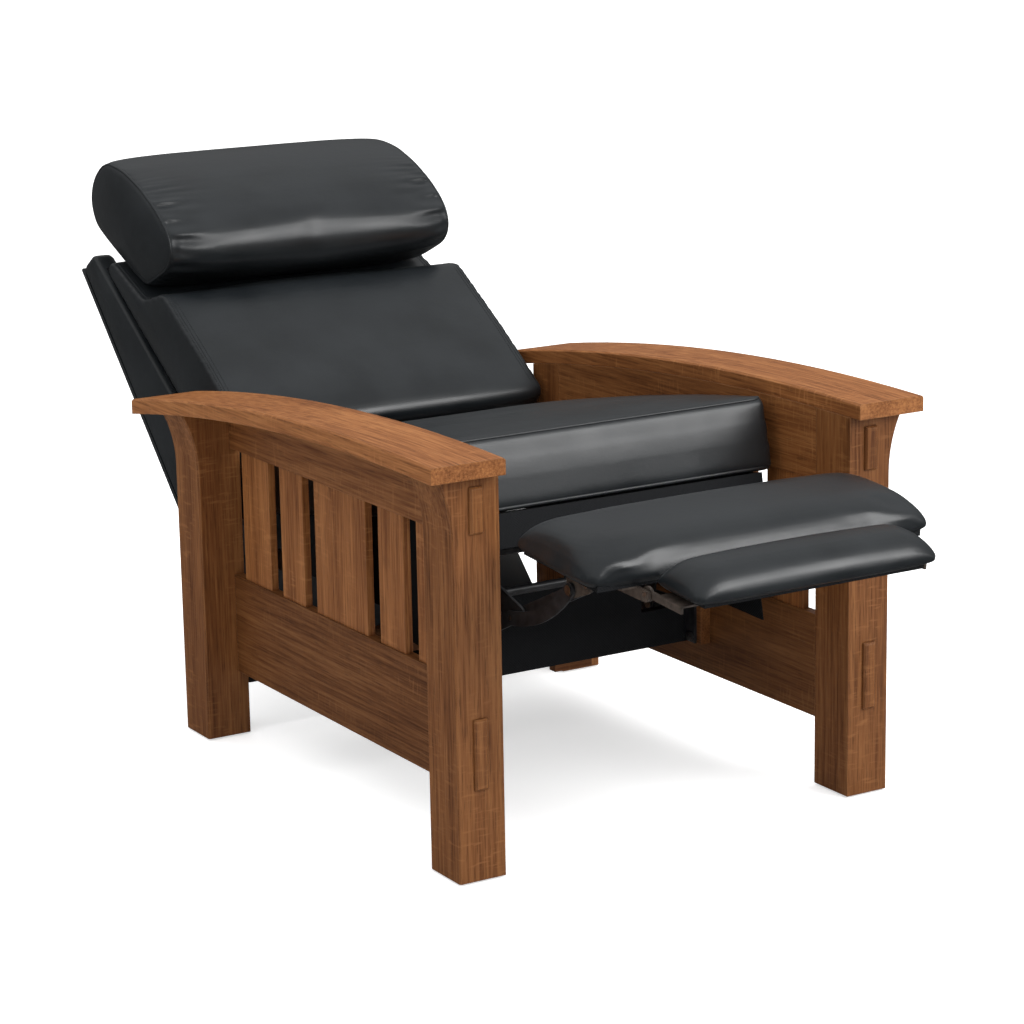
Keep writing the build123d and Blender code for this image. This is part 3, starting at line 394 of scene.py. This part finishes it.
cloth = black_cloth_and_shade()
painted_steel = metal("painted_steel", (0.010, 0.010, 0.011), (0.028, 0.028, 0.030), 0.34, 0.0)
brown_steel = metal("brown_steel", (0.030, 0.022, 0.017), (0.075, 0.058, 0.047), 0.40, 0.0)
zinc_steel = metal("zinc_steel", (0.22, 0.21, 0.20), (0.46, 0.45, 0.43), 0.30, 1.0)
spring_steel = metal("spring_steel", (0.10, 0.10, 0.10), (0.22, 0.22, 0.22), 0.32, 1.0)
finishes = {
    cloth: ["footrest_board", "flipper_board", "base_front_panel", "seat_front_rail", "back_webbing",
            "seat_side_rails", "seat_rear_rail", "back_top_rail", "back_bottom_rail"],
    painted_steel: ["base_plates", "corner_brackets", "front_swing_links", "rear_swing_links",
                    "carriage_plates", "carriage_front_tube", "carriage_rear_tube",
                    "footrest_drive_links", "footrest_drive_tube", "footrest_long_links",
                    "footrest_lift_links", "footrest_guide_links", "back_arms"],
    brown_steel: ["footrest_brackets", "flipper_brackets"],
    zinc_steel: ["base_bolts", "base_studs", "carriage_pins", "knee_rivets", "long_link_rivets",
                 "elbow_rivets", "bracket_rivets"],
    spring_steel: ["seat_springs", "spring_clips"],
    nylon(): ["leg_glides"],
}
for finish, names in finishes.items():
    for name in names:
        set_finish(name, finish)
print("finished", sum(len(names) for names in finishes.values()), "other nodes")

# %% [markdown]
# Each stuffed piece is worked out in millimetres in the upholsterer's own frame, flat on the
# bench, and then laid in its place on the chair. Three such benches are enough: the seat's, the
# back's and the footrest's. Each is an origin in the side view, measured from the front of the legs
# and the floor, and a lean about the X axis in degrees.

# %% Benches
SEAT_BENCH = (160.0, 498.0, -10.4)
BACK_BENCH = (740.0, 312.0, -45.0)
PAD_BENCH = (-3.935, 536.320, 4.3)


def lay(points, bench):
    """Points (x, y, z) in millimetres on a bench, laid on the chair in metres."""
    along, up, lean = bench
    c, s = np.cos(np.radians(lean)), np.sin(np.radians(lean))
    x, y, z = np.moveaxis(np.asarray(points, float), -1, 0)
    placed = np.stack([x, along + c * y - s * z, up + s * y + c * z], -1) / 1000
    placed[..., 1] += leg_face
    return placed


def lift(points, bench):
    """The way back: metres on the chair to millimetres on a bench."""
    along, up, lean = bench
    c, s = np.cos(np.radians(lean)), np.sin(np.radians(lean))
    x, y, z = np.moveaxis(np.asarray(points, float) * 1000, -1, 0)
    y, z = y - leg_face * 1000 - along, z - up
    return np.stack([x, c * y + s * z, -s * y + c * z], -1)


def mesh_piece(name, points, faces, finish, smooth=True):
    """A new object from arrays of points and faces."""
    mesh = bpy.data.meshes.new(name)
    mesh.from_pydata(points.reshape(-1, 3), [], faces)
    mesh.update()
    mesh.polygons.foreach_set("use_smooth", np.full(len(mesh.polygons), smooth))
    mesh.materials.append(finish)
    piece = bpy.data.objects.new(name, mesh)
    bpy.context.scene.collection.objects.link(piece)
    return piece


def grid_faces(rows, columns, close_rows=False, close_columns=False):
    """Four-cornered faces of a grid of points, joined round on itself where asked."""
    r = np.arange(rows if close_rows else rows - 1)
    c = np.arange(columns if close_columns else columns - 1)
    r, c = [a.ravel() for a in np.meshgrid(r, c, indexing="ij")]
    r2, c2 = (r + 1) % rows, (c + 1) % columns
    return np.stack([r * columns + c, r * columns + c2, r2 * columns + c2, r2 * columns + c], -1)


def tube(path, normal, radius, sides=8):
    """Points of a round tube: a circle carried round a closed path, turned by a fixed normal."""
    ahead = np.roll(path, -1, 0) - np.roll(path, 1, 0)
    ahead /= np.linalg.norm(ahead, axis=1, keepdims=True)
    across = np.cross(ahead, normal)
    across /= np.linalg.norm(across, axis=1, keepdims=True)
    other = np.cross(across, ahead)
    turn = np.linspace(0, 2 * np.pi, sides, endpoint=False)[None, :, None]
    return path[:, None] + radius * (np.cos(turn) * across[:, None] + np.sin(turn) * other[:, None])


print("benches ready")

# %% [markdown]
# A stuffed piece starts as a closed form: an outline in the side view carried across the chair
# from end to end, and drawn in towards its middle to close each end flat. The outline is a list of
# corners rounded by a moving average, which is what leather does to a corner anyway.

# %% Stuffed forms
def smoothed(path, rounds=4):
    """A closed path with its small kinks averaged out."""
    for _ in range(rounds):
        path = (np.roll(path, 1, 0) + 2 * path + np.roll(path, -1, 0)) / 4
    return path


def rounded_loop(corners, spacing=6.0, ease=3):
    """A closed loop of even points through corners, each point averaged with its neighbours."""
    corners = np.asarray(corners, float)
    runs = np.roll(corners, -1, 0) - corners
    lengths = np.linalg.norm(runs, axis=1)
    travelled = np.concatenate([[0], np.cumsum(lengths)])
    count = int(travelled[-1] / spacing)
    even = np.linspace(0, travelled[-1], count, endpoint=False)
    closed = np.vstack([corners, corners[:1]])
    loop = np.stack([np.interp(even, travelled, closed[:, k]) for k in range(closed.shape[1])], -1)
    return smoothed(loop, ease)


def carried_across(outline, half, draw=0.0, evenness=6, bulge=0.0, rings=40):
    """A closed form: an outline (y, z) carried along X and shrunk to its middle at both ends.

    At a share s of the way from the form's middle to its end, the outline is smaller by
    draw * (1 - sqrt(1 - s**evenness)), and an end swells outwards by bulge in its middle.
    """
    middle = outline.mean(0)
    across = np.linspace(-1, 1, rings)
    drawn_in = 1 - draw * (1 - np.sqrt(1 - np.abs(across) ** evenness))
    closing = np.linspace(0.02, 0.98, 12)
    swell = bulge * (1 - closing ** 2)
    x = np.concatenate([-half - swell, half * across, (half + swell)[::-1]])
    share = np.concatenate([closing * (1 - draw), drawn_in, closing[::-1] * (1 - draw)])
    points = middle + (outline - middle) * share[:, None, None]
    return np.dstack([np.broadcast_to(x[:, None], points.shape[:2]), points])


def closed_piece(name, points, finish):
    """A mesh from rings of points, with a small face to close each end."""
    rings, around = points.shape[:2]
    faces = grid_faces(rings, around, close_columns=True).tolist()
    faces += [list(range(around))[::-1], list(range((rings - 1) * around, rings * around))]
    return mesh_piece(name, points, faces, finish)


print("forms ready")

# %% [markdown]
# Stuffing is a cloth simulation. The form is rebuilt with an even mesh, the points along its
# seams are pinned, and air pressure swells the leather between them, as foam does. A cap keeps
# each point near where it started. What the cloth moved is then averaged between neighbours, which
# leaves the broad swell and takes out small puckers, and one subdivision smooths the rest. A guard
# keeps every point out of the frame that the piece rests on.

# %% Stuffing
PIN_REACH = 1.1


def distance_to(points, path):
    """How far each point is from a path, worked out in blocks to save memory."""
    blocks = np.array_split(points, 40)
    return np.concatenate([np.linalg.norm(block[:, None] - path[None], axis=2).min(1) for block in blocks])


def read_points(mesh):
    """A mesh's points as rows of x, y and z."""
    points = np.empty(len(mesh.vertices) * 3)
    mesh.vertices.foreach_get("co", points)
    return points.reshape(-1, 3)


def write_points(mesh, points):
    """Moves a mesh's points to new places."""
    mesh.vertices.foreach_set("co", points.ravel())
    mesh.update()


def apply_modifiers(piece):
    """The piece's mesh becomes what its modifiers make of it."""
    shown = piece.evaluated_get(bpy.context.evaluated_depsgraph_get())
    finished = bpy.data.meshes.new_from_object(shown)
    piece.modifiers.clear()
    old = piece.data
    piece.data = finished
    bpy.data.meshes.remove(old)


def neighbours_mean(mesh, values, rounds):
    """Values at a mesh's points, averaged with those at the neighbouring points."""
    ends = np.empty(len(mesh.edges) * 2, int)
    mesh.edges.foreach_get("vertices", ends)
    first, second = ends.reshape(-1, 2).T
    count = np.bincount(ends, minlength=len(values))
    size = len(values)
    for _ in range(rounds):
        total = [np.bincount(first, values[second, k], size) + np.bincount(second, values[first, k], size)
                 for k in range(3)]
        values = (values + np.stack(total, -1) / count[:, None]) / 2
    return values


def stuff(piece, seams, voxel, cap, guard, ease=16, pressure=4.0, frames=18):
    """Swells a piece between its pinned seams. guard(points) returns points kept in their room.

    voxel is the even mesh's step and cap the furthest that a point may move, both in metres. ease
    is how often the movement is averaged.
    """
    evening = piece.modifiers.new("even_mesh", "REMESH")
    evening.mode, evening.voxel_size = "VOXEL", voxel
    apply_modifiers(piece)
    start = read_points(piece.data)
    held = distance_to(start, seams) < voxel * PIN_REACH
    pins = piece.vertex_groups.new(name="seams")
    pins.add(np.flatnonzero(held).tolist(), 1.0, "REPLACE")
    cloth_run = piece.modifiers.new("stuffing", "CLOTH")
    rules = cloth_run.settings
    rules.use_pressure, rules.uniform_pressure_force = True, pressure
    rules.effector_weights.gravity = 0
    rules.vertex_group_mass = pins.name
    rules.quality, rules.mass = 4, 0.3
    rules.tension_stiffness = rules.compression_stiffness = 20
    rules.bending_stiffness = 3.0
    cloth_run.point_cache.frame_start, cloth_run.point_cache.frame_end = 1, frames
    for step in range(1, frames + 1):
        bpy.context.scene.frame_set(step)
    apply_modifiers(piece)
    bpy.context.scene.frame_set(1)
    moved = read_points(piece.data) - start
    far = np.linalg.norm(moved, axis=1, keepdims=True)
    moved = moved * np.minimum(1, cap / np.maximum(far, 1e-9))
    start = start + neighbours_mean(piece.data, moved, ease)
    piece.vertex_groups.clear()
    write_points(piece.data, guard(start))
    piece.modifiers.new("finer_mesh", "SUBSURF").levels = 1
    apply_modifiers(piece)
    piece.data.polygons.foreach_set("use_smooth", np.full(len(piece.data.polygons), True))
    return piece


print("stuffing ready")

# %% [markdown]
# Seams are finished after the stuffing, because the even mesh would swallow them. Piping is a
# leather-covered cord, so it is a tube along the seam, pulled on to the swollen surface. A row of
# stitches is a chain of short five-sided rods along a path in the same way.

# %% Piping
STITCH_SIDES = 5


def pulled_on(path, piece, sink=0.0):
    """A path moved to the nearest places on a piece's surface, sunk below it by a depth."""
    faces = [list(face.vertices) for face in piece.data.polygons]
    surface = BVHTree.FromPolygons(read_points(piece.data).tolist(), faces)
    hits = [surface.find_nearest(point) for point in path.tolist()]
    return np.array([hit[0] - hit[1] * sink for hit in hits])


def pipe_seam(name, seam, normal, piece, body, radius=0.0026):
    """Piping round a closed seam."""
    path = smoothed(pulled_on(seam, piece, sink=radius * 0.3))
    points = tube(path, np.array(normal, float), radius)
    cord = mesh_piece(name, points, grid_faces(len(path), points.shape[1], True, True), piping)
    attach(cord, body)
    return cord


def stitch_row(name, path, piece, body, radius=0.0005, share=0.62):
    """A closed row of stitches: from each point of a path a share of the way to the next."""
    path = smoothed(pulled_on(path, piece, sink=-radius * 0.4))
    run = np.roll(path, -1, 0) - path
    ahead = run / np.linalg.norm(run, axis=1, keepdims=True)
    side = np.cross(ahead, (1.0, 0.2, 0.1))
    side /= np.linalg.norm(side, axis=1, keepdims=True)
    other = np.cross(side, ahead)
    ends = np.stack([path, path + share * run], 1)
    turn = np.linspace(0, 2 * np.pi, STITCH_SIDES, endpoint=False)[:, None]
    round_it = np.cos(turn) * side[:, None] + np.sin(turn) * other[:, None]
    points = ends[:, :, None] + radius * round_it[:, None]
    near_end, far_end = list(range(STITCH_SIDES))[::-1], list(range(STITCH_SIDES, 2 * STITCH_SIDES))
    one = grid_faces(2, STITCH_SIDES, close_columns=True).tolist() + [near_end, far_end]
    faces = [[2 * STITCH_SIDES * number + k for k in face] for number in range(len(path)) for face in one]
    row = mesh_piece(name, points, faces, thread)
    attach(row, body)
    return row


print("piping and stitches ready")

# %% [markdown]
# Every stuffed piece ends the same way: it rides on its body and hides the plain block that it
# stands for. One helper says that for all five.

# %% Fit a stuffed piece
def fit(piece, body, node):
    """The piece takes a plain block's place on its body."""
    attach(piece, body)
    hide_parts(node)
    print(piece.name, len(piece.data.polygons), "faces")


print("stuffed pieces can be fitted")

# %% [markdown]
# The seat cushion is a box: a crowned top, a front band that bulges a little, and piping round
# both its top and its bottom edge. It lies flat on the springs.

# %% Seat cushion
SEAT_HALF, SEAT_LONG, SEAT_LOW, SEAT_HIGH = 288.0, 646.0, 1.0, 117.0
SEAT_CROWN, SEAT_REST, BETWEEN_ARMS = 8.0, 0.8, 300.0
seat_corners = [(0, SEAT_LOW), (SEAT_LONG - 6, SEAT_LOW), (SEAT_LONG - 6, SEAT_HIGH), (480, SEAT_HIGH + 6),
                (326, SEAT_HIGH + SEAT_CROWN), (170, SEAT_HIGH + 6), (8, SEAT_HIGH)]
seat_form = carried_across(rounded_loop(seat_corners), SEAT_HALF)
seat_cushion = closed_piece("seat_leather", lay(seat_form, SEAT_BENCH), leather)


def box_seam(front, rear, half, height, ease=14):
    """A level loop round a box cushion, its corners rounded by an average taken ease times."""
    loop = rounded_loop([(-half, front), (half, front), (half, rear), (-half, rear)], ease=ease)
    return np.column_stack([loop, np.full(len(loop), height)])


def seat_room(points):
    """Keeps the seat cushion above its frame and between the arms."""
    flat = lift(points, SEAT_BENCH)
    flat[:, 2] = np.maximum(flat[:, 2], SEAT_REST)
    flat[:, 0] = np.clip(flat[:, 0], -BETWEEN_ARMS, BETWEEN_ARMS)
    return lay(flat, SEAT_BENCH)


top_seam = lay(box_seam(7, SEAT_LONG - 8, SEAT_HALF, SEAT_HIGH), SEAT_BENCH)
low_seam = lay(box_seam(0, SEAT_LONG - 8, SEAT_HALF, SEAT_LOW + 3), SEAT_BENCH)
stuff(seat_cushion, np.vstack([top_seam, low_seam]), voxel=0.0078, cap=0.022, guard=seat_room)
fit(seat_cushion, "seat", "seat_cushion")
seat_normal = lay([(0, 0, 1)], SEAT_BENCH)[0] - lay([(0, 0, 0)], SEAT_BENCH)[0]
pipe_seam("seat_top_piping", top_seam, seat_normal, seat_cushion, "seat", 0.0032)
pipe_seam("seat_low_piping", low_seam, seat_normal, seat_cushion, "seat", 0.0032)

# %% [markdown]
# Black cloth hangs from the seat's side rails, just inside the swing links. It hides the
# mechanism behind the slats, and as a dark sheet it also paints the shade of the frame's inside
# that shows through the slots. Its lower edge steps up behind the front links, so that it passes
# over the base's front board when the seat comes upright. Each flap is one outline in the side
# view, given the cloth's thickness.

# %% Seat skirts
SKIRT_INSIDE, SKIRT_OUTSIDE = 263.2, 264.6
skirt_corners = [(42, -51), (42, -235), (235, -192), (262, -150), (450, -118), (628, -86), (628, -51)]


def seat_skirt(name, side):
    """A thin flap in the shape of the corners. side is -1 on the right and 1 on the left."""
    sheets = [[(side * x, y, z) for y, z in skirt_corners] for x in (SKIRT_INSIDE, SKIRT_OUTSIDE)]
    count = len(skirt_corners)
    around = [[k, (k + 1) % count, count + (k + 1) % count, count + k] for k in range(count)]
    faces = [list(range(count))[::-1], list(range(count, 2 * count))] + around
    if side < 0:
        faces = [face[::-1] for face in faces]
    # A dark sheet: partly a lining, partly painted shade for the inside of the frame seen through the slats.
    skirt = mesh_piece(name, lay(np.array(sheets), SEAT_BENCH), faces, cloth, smooth=False)
    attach(skirt, "seat")


for name, side in (("seat_skirt_right", -1), ("seat_skirt_left", 1)):
    seat_skirt(name, side)
print("two skirts hang from the seat")

# %% [markdown]
# The footrest has two thin pads on boards. Their leather is pulled over the boards' edges and
# stapled underneath, so each is one dome that curls down and in all round, with no piping. A dome
# is a grid over the square from -1 to 1 both ways. Its rim is drawn in towards the corners, and
# its top is a product of two curves, one each way, that are flat in the middle and round off near
# the rim.

# %% Shape of a pad
def rounded_off(share, band):
    """1 in the middle of a pad, falling along a quarter ellipse to 0 over a band at its rim."""
    into = np.clip((np.abs(share) - (1 - band)) / band, 0, 1)
    return np.sqrt(1 - into ** 2) * (1 - 0.10 * share ** 2)


def domed_pad(half, far, near, low, high, rim, bands, corners, tuck=14.0, counts=(90, 44)):
    """Points of a pad's top and bottom: grids over the square (u, v).

    x = half * u * (1 - corner_x * v**8) and y goes the same way from the pad's middle, so only the
    corners are drawn in. The top is low + rim + (high - low - rim) * rounded_off(u) * rounded_off(v).
    The bottom is level and tucked in by a step all round, against the board's edge.
    """
    u, v = np.meshgrid(*[np.linspace(-1, 1, count) for count in counts], indexing="ij")
    deep, middle = (near - far) / 2, (near + far) / 2
    across, along = u * (1 - corners[0] * v ** 8), v * (1 - corners[1] * u ** 8)
    top = low + rim + (high - low - rim) * rounded_off(u, bands[0]) * rounded_off(v, bands[1])
    upper = np.stack([half * across, middle + deep * along, top], -1)
    under = np.stack([(half - tuck) * across, middle + (deep - tuck) * along, np.full(u.shape, low)], -1)
    return upper, under


def rim_of_grid(rows, columns):
    """The numbers of a grid's outer points, in order round it."""
    first_row = np.arange(columns)
    last_column = np.arange(1, rows) * columns + columns - 1
    last_row = (rows - 1) * columns + np.arange(columns - 2, -1, -1)
    first_column = np.arange(rows - 2, 0, -1) * columns
    return np.concatenate([first_row, last_column, last_row, first_column])


print("pad shape ready")

# %% [markdown]
# A pad's top and bottom grids are joined by a wall round the rim, which makes one closed skin. Its
# lower edge is held where the staples are, and the rest swells a few millimetres.

# %% Footrest pads
def pad_piece(name, body, node, rim, bands, corners, **size):
    """A thin pad that rides on a body and replaces a node. The other values are domed_pad's."""
    top, under = domed_pad(rim=rim, bands=bands, corners=corners, **size)
    rows, columns = top.shape[:2]
    flat = grid_faces(rows, columns)
    border = rim_of_grid(rows, columns)
    onward, lower = np.roll(border, -1), rows * columns
    sides = np.stack([border, border + lower, onward + lower, onward], -1)
    faces = np.vstack([flat[:, ::-1], flat + lower, sides]).tolist()
    skin = np.concatenate([top.reshape(-1, 3), under.reshape(-1, 3)])
    pad = mesh_piece(name, lay(skin, PAD_BENCH), faces, leather)

    def pad_room(points):
        """Keeps the pad above its own lower edge."""
        level_points = lift(points, PAD_BENCH)
        level_points[:, 2] = np.maximum(level_points[:, 2], size["low"])
        return lay(level_points, PAD_BENCH)

    staples = lay(under.reshape(-1, 3)[border], PAD_BENCH)
    stuff(pad, staples, voxel=0.005, cap=0.007, guard=pad_room, ease=12)
    fit(pad, body, node)


pad_piece("footrest_leather", "footrest_main", "footrest_pad", rim=9, bands=(0.22, 0.72),
          corners=(0.04, 0.07), half=302, far=-226, near=2, low=-48.0, high=9)
pad_piece("flipper_leather", "footrest_flipper", "flipper_pad", rim=8, bands=(0.26, 0.86),
          corners=(0.04, 0.08), half=210, far=-350, near=-234, low=-47.0, high=4)

# %% [markdown]
# The back cushion is thick where a sitter leans and thin where it carries the head bolster. Its
# lower end is hollowed, so that it clears the seat cushion as the back swings. Near each end a
# seam runs round it, stitched on both sides, and beyond the seam the leather rounds off.

# %% Back cushion
BACK_HALF, BACK_SEAM, BACK_ROOM = 294.0, 284.0, 303.0
SEAM_SHRINK = 0.01
WEBBING_FOOT, WEBBING_SLOPE, WEBBING_GAP = (66.5, 209.0), 0.19687, 2.4
SWING_CLEARANCE = 219.0
back_corners = [(56, 217), (-58, 217), (-62, 232), (-50, 301), (-33, 390), (-12, 478), (7, 558), (24, 572),
                (84, 606), (138, 736), (166, 736), (140, 610), (111, 478), (82, 347)]
back_outline = rounded_loop(back_corners, 5.0, 4)
back_form = carried_across(back_outline, BACK_HALF, draw=0.012, evenness=20, bulge=4)
back_cushion = closed_piece("back_leather", lay(back_form, BACK_BENCH), leather)


def end_seam(outline, x, shrink):
    """A loop round a form near its end: its outline, drawn in by a share."""
    middle = outline.mean(0)
    return np.column_stack([np.full(len(outline), x), middle + (outline - middle) * (1 - shrink)])


def back_loop(x):
    """A loop round the back cushion, laid on the chair."""
    return lay(end_seam(back_outline, x, SEAM_SHRINK), BACK_BENCH)


def back_room(points):
    """Keeps the back cushion in front of its webbing, between the arms and clear of the hinge."""
    flat = lift(points, BACK_BENCH)
    webbing = WEBBING_FOOT[0] + (flat[:, 2] - WEBBING_FOOT[1]) * WEBBING_SLOPE - WEBBING_GAP
    flat[:, 1] = np.minimum(flat[:, 1], webbing)
    flat[:, 0] = np.clip(flat[:, 0], -BACK_ROOM, BACK_ROOM)
    from_hinge = np.hypot(flat[:, 1], flat[:, 2])
    flat[:, 1:] *= np.maximum(1, SWING_CLEARANCE / from_hinge)[:, None]
    return lay(flat, BACK_BENCH)


back_seams = np.vstack([back_loop(-BACK_SEAM), back_loop(BACK_SEAM)])
stuff(back_cushion, back_seams, voxel=0.0075, cap=0.022, guard=back_room)
fit(back_cushion, "back", "back_cushion")
for side, name in ((-1, "right"), (1, "left")):
    pipe_seam("back_piping_" + name, back_loop(side * BACK_SEAM), (1, 0, 0), back_cushion, "back", 0.0013)
    for row, step in (("inner", -6), ("outer", 5)):
        stitch_row(f"back_stitches_{row}_{name}", back_loop(side * (BACK_SEAM + step)), back_cushion, "back")

# %% [markdown]
# The boards of the back's frame are wrapped in the same leather over a thin felt. A wrapped board
# is the board's own mesh with its corners welded and every sharp edge rounded off. The two side
# boards are padded on their inner faces too, as far as the back cushion leaves room.

# %% Wrapped boards
WELD_REACH, SHARP_ANGLE = 0.00005, np.radians(30)


def wrapped_board(node, name, rounding, inner=None):
    """A board of the back in leather. inner is how near the middle its inner face is padded out."""
    mesh = nodes[node].data.copy()
    mesh.transform(nodes[node].matrix_world)
    if inner is not None:
        points = read_points(mesh)
        across = np.abs(points[:, 0])
        inside = across < (across.max() + across.min()) / 2
        points[inside, 0] = np.sign(points[inside, 0]) * inner
        write_points(mesh, points)
    piece = bpy.data.objects.new(name, mesh)
    bpy.context.scene.collection.objects.link(piece)
    piece.modifiers.new("joined_corners", "WELD").merge_threshold = WELD_REACH
    edge = piece.modifiers.new("soft_edges", "BEVEL")
    edge.width, edge.segments = rounding, 5
    edge.limit_method, edge.angle_limit = "ANGLE", SHARP_ANGLE
    apply_modifiers(piece)
    piece.data.polygons.foreach_set("use_smooth", np.full(len(piece.data.polygons), True))
    set_finish(piece, leather)
    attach(piece, "back")
    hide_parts(node)
    print(name, len(piece.data.polygons), "faces")


wrapped_board("back_side_panels", "back_side_leather", rounding=0.012, inner=0.262)
wrapped_board("back_top_rail", "back_top_leather", rounding=0.006)
wrapped_board("back_outer_panel", "back_outer_leather", rounding=0.003)

# %% [markdown]
# The head bolster is a fat roll with a flat, piped cap at each end. Its leather is gathered a
# little where it meets the lower front of each cap: creases run in from the seam and die out.

# %% Head bolster
PILLOW_HALF, PILLOW_DRAW = 276.0, 0.09
BEHIND_PILLOW, BEHIND_SLOPE, BEHIND_LEAST = (86.0, 604.0), 0.393, 80.0
pillow_corners = [(84, 622), (112, 678), (158, 790), (178, 845), (173, 874), (158, 896), (132, 909),
                  (103, 911), (66, 904), (36, 886), (-5, 831), (-37, 767), (-58, 706), (-67, 660),
                  (-68, 626), (-58, 600), (-36, 585), (-6, 586)]
pillow_outline = rounded_loop(pillow_corners, 5.0, 5)
pillow_form = carried_across(pillow_outline, PILLOW_HALF, PILLOW_DRAW, evenness=3, bulge=18)
pillow = closed_piece("pillow_leather", lay(pillow_form, BACK_BENCH), leather)
pillow_seams = [lay(end_seam(pillow_outline, end, PILLOW_DRAW), BACK_BENCH)
                for end in (-PILLOW_HALF, PILLOW_HALF)]


def pillow_room(points):
    """Keeps the bolster in front of the back's upper pad."""
    flat = lift(points, BACK_BENCH)
    face = BEHIND_PILLOW[0] + (flat[:, 2] - BEHIND_PILLOW[1]) * BEHIND_SLOPE
    flat[:, 1] = np.minimum(flat[:, 1], np.maximum(face, BEHIND_LEAST))
    return lay(flat, BACK_BENCH)


def gathered(points, depth=5.0, reach=58.0, start=7.0, low_front=np.radians(-142), spread=0.62):
    """Creases beside the bolster's end seams.

    A point at a turn t round the roll and a distance d in from its end seam sinks by a wave in t,
    times exp(-(d / reach)**2) less its first few millimetres, which the start value fades in, and
    times exp(-((t - low_front) / spread)**2). The wave is two cosines, so no two creases are alike.
    """
    flat = lift(points, BACK_BENCH)
    out = flat[:, 1:] - pillow_outline.mean(0)
    turn = np.arctan2(out[:, 1], out[:, 0])
    off = (turn - low_front + np.pi) % (2 * np.pi) - np.pi
    inward = np.maximum(PILLOW_HALF - np.abs(flat[:, 0]), 0)
    near = np.exp(-(inward / reach) ** 2) * (1 - np.exp(-(inward / start) ** 2))
    wave = 0.6 * np.cos(27 * turn + inward / 60) + 0.4 * np.cos(43 * turn + 1.3 - inward / 45) - 0.35
    sink = depth * near * np.exp(-(off / spread) ** 2) * wave
    flat[:, 1:] += out / np.linalg.norm(out, axis=1, keepdims=True) * sink[:, None]
    return lay(flat, BACK_BENCH)


stuff(pillow, np.vstack(pillow_seams), voxel=0.0065, cap=0.020, guard=pillow_room)
write_points(pillow.data, gathered(read_points(pillow.data)))
fit(pillow, "back", "head_pillow")
for side, seam in zip(("right", "left"), pillow_seams):
    pipe_seam("pillow_piping_" + side, seam, (1, 0, 0), pillow, "back")

# %% [markdown]
# The floor is a wide pale sheet under the glides. It isn't part of the chair. Glossy rays pass
# through it into the dim lower sky, as if the chair stood on a dark shelf, so the leather's undersides
# and the sides of the legs stay deep. It also glows a little, for the camera alone, which thins the
# shadow as a lit white table does.

# %% Floor
FLOOR_HALF, FLOOR_WHITE, FLOOR_GLOW = 30.0, 0.80, 0.55
floor_finish, floor_tree, floor_shader = blank_finish("studio_floor", Roughness=0.9)
floor_shader.inputs["Base Color"].default_value = (FLOOR_WHITE, FLOOR_WHITE, FLOOR_WHITE, 1)
floor_shader.inputs["Emission Color"].default_value = (1, 1, 1, 1)
seen = add_node(floor_tree, "ShaderNodeLightPath").outputs["Is Camera Ray"]
floor_tree.links.new(product(floor_tree, seen, FLOOR_GLOW), floor_shader.inputs["Emission Strength"])
floor_corners = FLOOR_HALF * np.array([(-1, -1, 0), (1, -1, 0), (1, 1, 0), (-1, 1, 0)])
floor = mesh_piece("floor", floor_corners, [(0, 1, 2, 3)], floor_finish, smooth=False)
floor.visible_glossy = False
print("floor is", 2 * FLOOR_HALF, "m wide")
